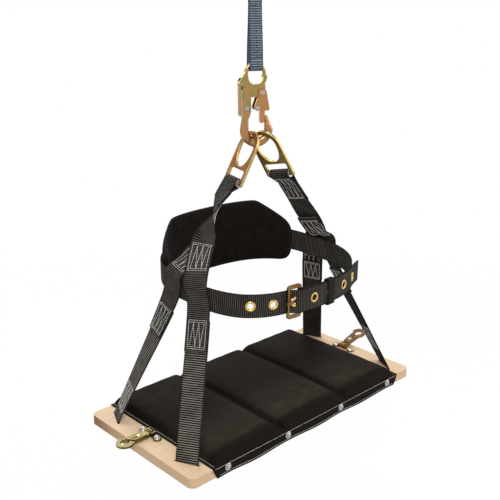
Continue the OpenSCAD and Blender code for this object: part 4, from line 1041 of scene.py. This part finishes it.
def plywood_finish(name, face, grain_tone, edge_tone, glue):
    """Birch plywood: long grain on its faces, plies of turning grain with glue lines on its edges, and painted shade on
    the sawn ends, darker towards the back and darkest at the back corner."""
    f = new_finish(name)
    spot = f.spot()
    _, y, z = f.axes(spot)
    out_x, _, out_z = f.facing()
    long_grain = f.noise(f.stretched(spot, (4.0, 70.0, 70.0)), 4.0, 5.0, 0.62)
    fleck = f.noise(f.stretched(spot, (60.0, 700.0, 700.0)), 1.6, 3.0, 0.6)
    streak = f.noise(f.stretched(spot, (40.0, 40.0, 900.0)), 2.0, 4.0, 0.6)
    ply = (z + 0.8222) * (1 / (BOARD_T * MM) * PLIES) + f.noise(f.stretched(spot, (6.0, 6.0, 0.0)), 3.0) * 0.28
    line = 1 - abs(ply.math("FRACT") - 0.5).step(0.36, 0.47)
    which = (ply.math("FLOOR") * 0.5).math("FRACT") * 2
    top = f.blend(long_grain.step(0.35, 0.72) * 0.6 + fleck.step(0.5, 0.75) * 0.35, tone(face), tone(grain_tone))
    side = f.blend(which * 0.3 + streak * 0.34, tone(face), tone(edge_tone))
    side = f.blend(line, tone(glue), side)
    # Painted shade on the sawn ends: darker towards the back, and darkest at the back corner.
    end_shade = abs(out_x).step(0.6, 0.85)
    side = f.blend(end_shade * (y.step(-0.03, 0.12) * 0.72 + 0.1), side, tone(edge_tone))
    side = f.blend(end_shade * y.step(0.05, 0.155), side, tone(np.array(edge_tone) * (0.42, 0.3, 0.2)))
    shade = f.blend(abs(out_z).step(0.55, 0.8), side, top)
    height = fleck * 0.5 + long_grain * 0.3 + streak * 0.2
    return f.end(colour=shade, rough=0.55 + fleck * 0.12, normal=f.bump(height, 0.18, 0.0004), specular=0.35)


def thread_finish(name, colour):
    """Sewing thread: off-white with a fine twist and darker soil."""
    f = new_finish(name)
    soil = f.noise(f.spot(), 160.0, 2.0)
    twist = f.noise(f.spot(), 3000.0, 1.0)
    shade = f.blend(soil.step(0.35, 0.75) * 0.6, tone(colour), tone(colour, 0.5))
    return f.end(colour=shade, rough=0.7, normal=f.bump(twist, 0.3, 0.0002))


def plastic_finish(name, colour):
    """Moulded plastic with a slight haze."""
    f = new_finish(name)
    haze = f.noise(f.spot(), 90.0, 3.0)
    return f.end(colour=f.blend(haze * 0.4, tone(colour), tone(colour, 1.4)), rough=haze * 0.15 + 0.4)


# Settings that a user would change


def length(name, text, default):
    """A length in metres."""
    return bpy.props.FloatProperty(name=name, description=text, default=default, min=0.0, unit="LENGTH", precision=5)


def colour(name, text, default):
    """A linear colour."""
    return bpy.props.FloatVectorProperty(
        name=name, description=text, default=default, subtype="COLOR", size=3, min=0, max=1
    )


class ChairSizes(bpy.types.PropertyGroup):
    """Sizes of what the scene adds to the frame."""

    rib: length("Rib pitch", "Distance between the ribs of the black webbing", 0.0036)
    lanyard_rib: length("Lanyard rib pitch", "Distance between the ribs of the lanyard", 0.0042)
    stitch: length("Stitch pitch", "Distance between two stitches", 0.0036)
    thread: length("Thread radius", "Radius of the sewing thread", 0.00045)
    swell_cap: length("Cushion swell", "How far the cushion's cover may swell", 0.005)
    pad_cap: length("Pad swell", "How far the back pad may swell", 0.004)
    slant: length("Flap slant", "How far the ends of the cover's flaps lean in", 0.010)


class ChairColours(bpy.types.PropertyGroup):
    """Colours of the finishes."""

    webbing: colour("Webbing", "Black webbing between its ribs", (0.0072, 0.0060, 0.0050))
    # The webbing rib and lanyard rib colours are painted highlights on the ribs' crests.
    rib: colour("Webbing rib", "Highlit crest of a rib", (0.30, 0.275, 0.24))
    lanyard: colour("Lanyard", "Slate-blue webbing", (0.046, 0.058, 0.086))
    lanyard_rib: colour("Lanyard rib", "Crest of the lanyard's ribs", (0.46, 0.51, 0.60))
    vinyl: colour("Cover", "Coated cloth of the cushion", (0.0095, 0.0072, 0.0050))
    pad: colour("Back pad", "Cloth of the back pad", (0.0062, 0.0046, 0.0036))
    gold: colour("Zinc gold", "Main tone of the plated metal", (0.48, 0.325, 0.115))
    green: colour("Zinc green", "Green bloom of the plating", (0.36, 0.335, 0.125))
    rose: colour("Zinc rose", "Rose bloom of the plating", (0.56, 0.25, 0.10))
    steel: colour("Steel", "Bright plated screws and rivets", (0.42, 0.39, 0.35))
    brass: colour("Grommets", "Brass of the belt's eyelets", (0.66, 0.44, 0.13))
    face: colour("Plywood face", "Birch face", (0.72, 0.53, 0.35))
    grain: colour("Plywood grain", "Darker grain of the face", (0.58, 0.40, 0.25))
    ply: colour("Plywood edge", "Darker plies at the edge", (0.40, 0.23, 0.115))
    glue: colour("Glue line", "Lines between the plies", (0.33, 0.20, 0.115))
    thread: colour("Thread", "Off-white sewing thread", (0.84, 0.81, 0.75))
    floor: colour("Floor", "Studio floor", (0.90, 0.90, 0.90))


class ChairStage(bpy.types.Operator):
    """Makes the camera, the floor, the lamps and the pale studio"""

    bl_idname = "chair.stage"
    bl_label = "Stage"

    def execute(self, context):
        scene = context.scene
        scene.view_settings.view_transform = "Standard"
        lens = bpy.data.cameras.new("camera")
        lens.lens, lens.sensor_width = CAMERA_LENS, 36.0
        lens.clip_start, lens.clip_end = 0.05, 60.0
        camera = in_scene("camera", lens)
        camera.location = CAMERA_AT
        camera.rotation_euler = (math.radians(90 - CAMERA_DOWN), 0, math.radians(CAMERA_TURN))
        scene.camera = camera

        a = full_turn(96)
        r = np.linspace(0, 1, 12)[1:] ** 1.5 * FLOOR_R
        rings = np.stack([np.outer(r, np.cos(a)), np.outer(r, np.sin(a)), np.full((len(r), len(a)), FLOOR_Z)], -1)
        i, j = grid_faces(len(r), len(a), True, False)
        faces = (i * len(a) + j % len(a)).tolist() + [list(range(len(a)))]
        floor = new_piece("floor", rings.reshape(-1, 3), faces, smooth=False)
        f = new_finish("studio floor")
        matt = f.node("ShaderNodeBsdfDiffuse", inputs={"Color": tone(scene.chair_colours.floor)})
        white = f.node("ShaderNodeEmission", inputs={"Color": WHITE, "Strength": 1.0})
        far = f.node("ShaderNodeVectorMath", {"operation": "LENGTH"}, {0: f.spot()}, out="Value").step(1.2, 2.6)
        mixed = f.node("ShaderNodeMixShader", inputs={0: f.seen() * (far * 0.06 + 0.94), 1: matt, 2: white})
        floor.data.materials.append(f.show(mixed))

        sky = Finish(bpy.data.worlds.new("studio"))
        lit, shown = (sky.node("ShaderNodeBackground", inputs={"Color": WHITE, "Strength": s}) for s in (SKY, 1.0))
        mixed = sky.node("ShaderNodeMixShader", inputs={0: sky.seen(), 1: lit, 2: shown})
        scene.world = sky.show(mixed, "ShaderNodeOutputWorld")

        for name, at, size, watts, tint in LAMPS:
            light = bpy.data.lights.new(name, "AREA")
            light.shape, light.size, light.energy, light.color = "DISK", size, watts, tint
            lamp = in_scene(name, light)
            lamp.location = at
            x, y, z = LAMP_AIM - np.array(at)
            lamp.rotation_euler = (math.pi / 2 + math.atan2(z, math.hypot(x, y)), 0, math.atan2(y, x) - math.pi / 2)
        return {"FINISHED"}


class ChairLanyard(bpy.types.Operator):
    """Makes the lanyard: one band of webbing, doubled, with an eye at each end"""

    bl_idname = "chair.lanyard"
    bl_label = "Lanyard"

    def execute(self, context):
        c, z = context.scene.chair_colours, context.scene.chair_sizes
        p, uv = carried(lanyard_route(), flat_profile(LANYARD_W, LANYARD_T))
        band = grid_piece("lanyard_band", p, uv, ring=True, loop=True)
        slate = webbing_finish("slate webbing", c.lanyard, c.lanyard_rib, z.lanyard_rib, LANYARD_W / 2 * MM, glint=1.0)
        dress(band, slate, "lanyard", "lanyard_webbing")
        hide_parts("lanyard_strap")

        v = np.linspace(LANYARD_LOW + 2, LANYARD_HIGH - 48, 60)
        none = np.zeros(len(v))
        runs = []
        for k in (-1, 1):
            p = hook_point(none + 0.6, v, k * (lanyard_apart(v) + LANYARD_T / 2 + LANYARD_OVER))
            runs.append((p, hook_point(none, none, none + k) - HOOK_AT))
        pitch, thread = z.stitch / MM * LANYARD_PITCH, z.thread / MM * LANYARD_THREAD
        sewn = stitch_piece("lanyard_stitching", runs, pitch, LANYARD_STITCH_L, thread)
        dress(sewn, thread_finish("lanyard thread", tone(c.lanyard, 0.2)), "lanyard", "lanyard_webbing")
        return {"FINISHED"}


class ChairStraps(bpy.types.Operator):
    """Makes the six black straps and their sewn boxes"""

    bl_idname = "chair.straps"
    bl_label = "Straps"

    # Where each strap is sewn: lengths along it, from its first end
    BOXES = {
        "left_main_strap": [(124, 184), (238, 302), (396, 446)],
        "right_main_strap": [(120, 186), (364, 420)],
        "left_branch_strap": [(12, 68), (148, 200)],
        "right_branch_strap": [(10, 66), (142, 190)],
        "under_strap_a": [(4, 52), (1082, 1130)],
        "under_strap_b": [(4, 52), (174, 228), (934, 990), (1090, 1136)],
    }

    def execute(self, context):
        c, z = context.scene.chair_colours, context.scene.chair_sizes
        # By strap: finish, share of the ribs' pitch, glint of the crests, where the glint fades along the strap. The
        # glint is a painted highlight and its fading is painted shade, so the three finishes are lit and shaded copies
        # of one webbing.
        highlight_by_strap = {
            "under": ("lower webbing", 1.1, 1.75, (0.4, 0.7)),
            "left": ("upper webbing", 1.0, 0.7, None),
            "right": ("right webbing", 1.0, 0.6, (0.2, 0.34)),
        }
        finishes = {
            side: webbing_finish(name, c.webbing, c.rib, z.rib * pitch, WEB_W / 2 * MM, glint, shade_from)
            for side, (name, pitch, glint, shade_from) in highlight_by_strap.items()
        }
        runs = []
        for node, f in strap_routes().items():
            piece = strap_piece(node + "_webbing", f, WEB_W, WEB_T, STRAP_STEPS)
            dress(piece, finishes[node.split("_")[0]], "chair", "black_webbing")
            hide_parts(node)
            smooth = fine(f, STRAP_STEPS)
            for s0, s1 in self.BOXES[node]:
                for face in (-1, 1):
                    runs += box_runs(smooth, s0, s1, face * (WEB_T / 2 + STRAP_OVER))
        sewn = stitch_piece("strap_stitching", runs, z.stitch / MM * STRAP_PITCH, STITCH_L, z.thread / MM)
        dress(sewn, thread_finish("strap thread", c.thread), "chair", "black_webbing")
        return {"FINISHED"}


class ChairBelt(bpy.types.Operator):
    """Makes the belt with its open eyelets, and the keeper"""

    bl_idname = "chair.belt"
    bl_label = "Belt"

    def execute(self, context):
        c, z = context.scene.chair_colours, context.scene.chair_sizes
        n = 40
        p, uv = carried(fine(belt_route(), 6), even_profile(n))
        s = PRONG_S + np.arange(-2, 5) * GROMMET_STEP
        axes = along, up, out = belt_axes(s)
        mids = belt_mid(s) + out * belt_off(s - PIVOT_S + BELT_LENGTH)[:, None]

        def keep(i, j):
            d = p[i % len(p), j % n].mean(axis=1)[:, None] - mids[None]
            flat_r = np.hypot(np.sum(d * along, -1), np.sum(d * up, -1))
            return ~np.any((flat_r < CUT_R) & (np.abs(np.sum(d * out, -1)) < CUT_DEEP), axis=1)

        belt = grid_piece("belt_webbing", p, uv, ring=True, ends=True, keep=keep)
        black = webbing_finish("belt webbing", c.webbing, c.rib, z.rib, WEB_W / 2 * MM, glint=0.55)
        dress(belt, black, "chair", "black_webbing")
        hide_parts("belt")

        t = np.linspace(0, 1, 9)
        bulge = np.sin(np.pi * t) ** 0.6
        dome = np.stack([mix(GROMMET_R, GROMMET_RIM, t), WEB_T / 2 + RIM_DOME * bulge], 1)
        tube = np.array([(GROMMET_TUBE, WEB_T / 2), (GROMMET_TUBE, -WEB_T / 2)])
        under = np.stack([mix(GROMMET_RIM, GROMMET_R, t), -WEB_T / 2 - RIM_BACK * bulge], 1)
        rims = turned_rims("grommet_rims", mids, axes, np.concatenate([dome, tube, under]))
        dress(rims, steel_finish("brass", c.brass, rough=0.22), "chair", "brass")
        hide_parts("belt_grommets")

        p2, uv2 = carried(keeper_route(), flat_profile(KEEPER_W, KEEPER_T))
        keeper = grid_piece("keeper_band", p2, uv2, ring=True, loop=True)
        black = webbing_finish("keeper webbing", c.webbing, c.rib, z.rib * 0.5, KEEPER_W / 2 * MM, glint=0.15)
        dress(keeper, black, "belt_keeper", "black_webbing")
        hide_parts("belt_keeper")
        return {"FINISHED"}


class ChairSeat(bpy.types.Operator):
    """Makes the cushion under its cover, with the cover's sewn edges"""

    bl_idname = "chair.seat"
    bl_label = "Seat cushion"

    def execute(self, context):
        c, z = context.scene.chair_colours, context.scene.chair_sizes
        near = np.concatenate([np.linspace(-14, 14, 19) + k * CHANNEL_X for k in (-1, 1)])
        ends = np.concatenate([k * np.linspace(FOAM_X - 22, COVER_X, 20) for k in (-1, 1)])
        xs = np.unique(np.round(np.concatenate([np.linspace(-COVER_X, COVER_X, 110), near, ends]), 2))
        rim = np.concatenate([[0, 0.4, 1, 2, 3.2, 4.6, 6.4, 9, 12, 16, 20, 25], np.linspace(31, HALF_D, 24)])
        ys = np.concatenate([HALF_D - rim, -(HALF_D - rim)[-2::-1]])
        x, y = np.meshgrid(xs, ys, indexing="ij")
        share = cushion_share(x, y)
        crown = np.stack([x, y * (1 + COVER_T / HALF_D), BOARD_T + cushion_top(x, y, share) + COVER_T], -1)
        (wall_b, under_b, back_b), (wall_f, under_f, back_f) = (cover_flap(xs, s, z.slant / MM) for s in (1, -1))
        before, after = [under_b[:, ::-1], wall_b[:, ::-1]], [wall_f, under_f, back_f, back_b[:, ::-1]]
        p = np.concatenate([*before, crown, *after], axis=1)
        free = np.zeros(p.shape[:2])
        first = under_b.shape[1] + wall_b.shape[1]
        loose = smooth_step((share - 0.62) / 0.3) * smooth_step((HALF_D - 8 - np.abs(y)) / 16)
        free[:, first : first + len(ys)] = loose
        seat = grid_piece("seat_cushion", p, ring=True, ends=True)
        swell(seat, free.ravel(), SEAT_PRESSURE, z.swell_cap / MM)
        dress(seat, vinyl_finish("coated cloth", c.vinyl), "chair", "black_vinyl")
        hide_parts("seat_cover", "foam_left", "foam_middle", "foam_right")

        runs = []
        m = np.linspace(-COVER_X + 5, COVER_X - 5, 120)
        v = np.linspace(-HALF_D + 2, HALF_D - 2, 90)
        for s in (-1, 1):
            for h, x_in in ((FLAP_ROW_HIGH, 0.0), (FLAP_ROW_LOW, z.slant / MM)):
                q = m * (1 - x_in / COVER_X)
                out, down = flap_hang(q, 1 - h / BOARD_T)
                row = np.stack([q, s * (HALF_D + COVER_T + FLAP_OVER + out), h - down], 1)
                runs.append((row, np.tile([0, float(s), 0], (len(m), 1))))
            hem_x, hem_z = s * (COVER_X - HEM_ROW), BOARD_T + COVER_T + HEM_OVER
            hem = np.stack([np.full(len(v), hem_x), v, np.full(len(v), hem_z)], 1)
            runs.append((hem, np.tile(UP, (len(v), 1))))
        sewn = stitch_piece("cover_stitching", runs, z.stitch / MM, STITCH_L, z.thread / MM * COVER_THREAD)
        dress(sewn, thread_finish("cover thread", c.thread), "chair", "black_vinyl")
        return {"FINISHED"}


class ChairPad(bpy.types.Operator):
    """Makes the padded back rest with its bound edge, and its belt loops"""

    bl_idname = "chair.pad"
    bl_label = "Back pad"

    def execute(self, context):
        colours, z = context.scene.chair_colours, context.scene.chair_sizes
        cs = np.sin(np.linspace(-np.pi / 2, np.pi / 2, 120)) * 0.35 + np.linspace(-1, 1, 120) * 0.65
        rs = (1 - np.cos(np.linspace(0, np.pi, 44))) / 2 * 0.5 + np.linspace(0, 1, 44) * 0.5
        c, r = np.meshgrid(cs, rs, indexing="ij")
        half = pad_half(c, r) * PAD_START
        front, rear = pad_point(c, r, -half)[0], pad_point(c, r, half)[0]
        rim = np.minimum(np.minimum(r, 1 - r) * 110, (1 - np.abs(c)) * 190)
        free = smooth_step((rim - 5) / 18)
        pad = grid_piece("back_pad_cloth", np.concatenate([front, rear[:, ::-1]], axis=1), ring=True, ends=True)
        free = np.concatenate([free, free[:, ::-1] * 0.15], axis=1)
        swell(pad, free.ravel(), PAD_PRESSURE, z.pad_cap / MM)
        dress(pad, pad_finish("pad cloth", colours.pad), "chair", "pad_cloth")
        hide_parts("back_pad")

        corner = np.array([(-1, 0), (1, 0), (1, 1), (-1, 1), (-1, 0)], float)
        t = np.concatenate([np.linspace(k, k + 1, m, endpoint=False) for k, m in enumerate((70, 24, 90, 24))])
        pc, pr = np.interp(t, range(5), corner[:, 0]), np.interp(t, range(5), corner[:, 1])
        mid, out = pad_point(pc, pr, np.zeros(len(pc)))
        for _ in range(3):
            mid = (np.roll(mid, 1, 0) + mid + np.roll(mid, -1, 0)) / 3
        inward = unit(np.cross(out, unit(np.roll(mid, -1, 0) - np.roll(mid, 1, 0))))
        centre, _ = pad_point(np.array([0.0]), np.array([0.5]), np.array([0.0]))
        inward *= np.sign(np.sum(inward * (centre - mid), axis=1, keepdims=True))
        a = full_turn(18)
        across = BINDING_IN + BINDING_W * signed_power(np.cos(a), 0.6)
        ring = np.stack([across, BINDING_T * signed_power(np.sin(a), 0.7)], 1)
        ring[:, 1] *= 1 + 0.25 * (ring[:, 0] > 8)
        q, uv = carried(np.stack([mid, inward, out], axis=1), ring)
        tape = grid_piece("pad_binding", q, uv, ring=True, loop=True)
        bound = webbing_finish("binding tape", colours.webbing, colours.rib, pitch=0.0014, half=0.02, glint=0.07)
        dress(tape, bound, "chair", "pad_cloth")

        black = webbing_finish("loop webbing", colours.webbing, colours.rib, z.rib, LOOP_W / 2 * MM, glint=0.3)
        for side, deg in PAD_LOOPS.items():
            loop = strap_piece("pad_loop_" + side, loop_route(deg), LOOP_W, WEB_T - GAP, 6)
            dress(loop, black, "chair", "black_webbing")
            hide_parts("pad_loops")
        return {"FINISHED"}


class ChairHardware(bpy.types.Operator):
    """Rounds the edges of the metal and the board and gives them their finishes"""

    bl_idname = "chair.hardware"
    bl_label = "Metal and board"

    def execute(self, context):
        c = context.scene.chair_colours
        gold, green, rose = (np.array(v) for v in (c.gold, c.green, c.rose))
        # Each zinc: main tone, first bloom, second bloom, shift of the blooms, roughness, where it turns rose
        zinc = {name: zinc_finish(name + " zinc", *tones) for name, tones in {
            "gold": (gold * 0.74, green * (0.68, 0.74, 0.5), rose * (0.84, 0.88, 1.1), 0.0, 0.2, (-0.232, -0.275)),
            "amber": (rose * (0.45, 0.4, 0.27), gold * (0.5, 0.36, 0.25), rose * (0.4, 0.32, 0.2), -0.02, 0.2),
            # Painted reflection: this darker copy of the gold stands for the dark surroundings that the right ring
            # reflects.
            "shaded_bronze": (gold * 0.55, green * 0.6, gold * 0.75, 0.0),
            "olive": (mix(gold, green, 0.6) * 0.4, green * 0.35, gold * 0.5, 0.02, 0.2),
            "copper": (mix(gold, rose, 0.7) * 0.45, gold * 0.48, rose * 0.36, 0.04, 0.2),
            "rose": (rose * (0.82, 0.86, 0.9), gold * 0.74, rose * (0.84, 0.72, 0.7), 0.0, 0.2),
        }.items()}
        # Painted highlight: the ring plates' flank faces get this brighter gold, for the light that their edges catch.
        rim = zinc_finish("gold edge", gold, green, rose * 0.9, shift=-0.03)
        steel = steel_finish("bright steel", c.steel, rough=0.2)
        dark = steel_finish("spring steel", tone(c.steel, 0.5), rough=0.35)
        sleeve = plastic_finish("sleeve", (0.35, 0.33, 0.30))
        board = plywood_finish("birch plywood", c.face, c.grain, c.ply, c.glue)
        slots = {s["node"]: s["material_slot"] for s in frame["record"]["subparts"]}

        lines = ring_lines()
        # Painted reflection: the right plate's darker bronze face stands for the dark surroundings it reflects.
        for side, name, face in ((-1, "left", zinc["amber"]), (1, "right", zinc["shaded_bronze"])):
            at, bar, rise = RINGS[side]
            axes = np.stack([bar, rise, np.cross(bar, rise)])
            plate = stamped_plate(name + "_ring_plate_shaped", lines, RING_T, RING_EDGE, at, axes)
            dress(plate, face, name + "_ring", slots[name + "_ring_plate"])
            # Painted highlight: the flank faces take the brighter gold edge finish.
            plate.data.materials.append(rim)
            normals = np.empty(len(plate.data.polygons) * 3, np.float32)
            plate.data.polygons.foreach_get("normal", normals)
            flank = np.abs(normals.reshape(-1, 3) @ axes[2]) < 0.8
            plate.data.polygons.foreach_set("material_index", flank.astype(np.int32))
            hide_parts(name + "_ring_plate")

        # Nodes whose edges are rounded: finish and width of the rounding
        soft_edged = {
            "hook_body": (zinc["gold"], 0.7), "hook_gate": (zinc["rose"], 0.5), "hook_lock": (zinc["gold"], 0.5),
            "left_ring_bar": (steel, 0.4), "right_ring_bar": (zinc["shaded_bronze"], 0.4),
            "buckle_frame": (zinc["copper"], 0.9), "buckle_tongue": (zinc["copper"], 0.4),
            "left_bar_loop": (zinc["olive"], 0.4), "right_bar_loop": (zinc["copper"], 0.4),
            "left_snap": (zinc["olive"], 0.6), "right_snap": (zinc["copper"], 0.6),
            "left_snap_gate": (zinc["olive"], 0.3), "right_snap_gate": (zinc["copper"], 0.3),
            "seat_board": (board, 1.6), "left_bar_washers": (steel, 0.25), "right_bar_washers": (steel, 0.25),
            "cover_washers": (steel, 0.25),
        }
        for node, (finish, width) in soft_edged.items():
            dress(softened(node, width), finish, body_of(node), slots[node])
        plain = {
            "hook_gate_pin": steel, "hook_gate_spring": dark, "hook_gate_rivet": steel, "hook_lock_pin": steel,
            "hook_rivet": steel, "left_bar_sleeve": sleeve, "right_bar_sleeve": sleeve, "cover_screws": steel,
            "loop_screws": steel, "left_snap_rivet": steel, "right_snap_rivet": steel,
        }
        for node, finish in plain.items():
            data = frame["nodes"][node].data
            data.materials.clear()
            data.materials.append(finish)
        return {"FINISHED"}


class ChairPanel(bpy.types.Panel):
    """Lists the steps and settings in the sidebar"""

    bl_idname = "VIEW3D_PT_chair"
    bl_label = "Bosun's Chair"
    bl_space_type = "VIEW_3D"
    bl_region_type = "UI"
    bl_category = "Chair"

    def draw(self, context):
        for step in STEPS:
            self.layout.operator(step.bl_idname)
        for group in (context.scene.chair_sizes, context.scene.chair_colours):
            box = self.layout.box()
            for name in group.__annotations__:
                box.prop(group, name)


STEPS = (ChairStage, ChairLanyard, ChairStraps, ChairBelt, ChairSeat, ChairPad, ChairHardware)
CLASSES = (ChairSizes, ChairColours, *STEPS, ChairPanel)


def register():
    for cls in CLASSES:
        bpy.utils.register_class(cls)
    bpy.types.Scene.chair_sizes = bpy.props.PointerProperty(type=ChairSizes)
    bpy.types.Scene.chair_colours = bpy.props.PointerProperty(type=ChairColours)


def unregister():
    del bpy.types.Scene.chair_colours
    del bpy.types.Scene.chair_sizes
    for cls in reversed(CLASSES):
        bpy.utils.unregister_class(cls)


def main():
    """Runs the steps in order."""
    register()
    bpy.ops.chair.stage()
    bpy.ops.chair.lanyard()
    bpy.ops.chair.straps()
    bpy.ops.chair.belt()
    bpy.ops.chair.seat()
    bpy.ops.chair.pad()
    bpy.ops.chair.hardware()


if __name__ == "__main__":
    main()
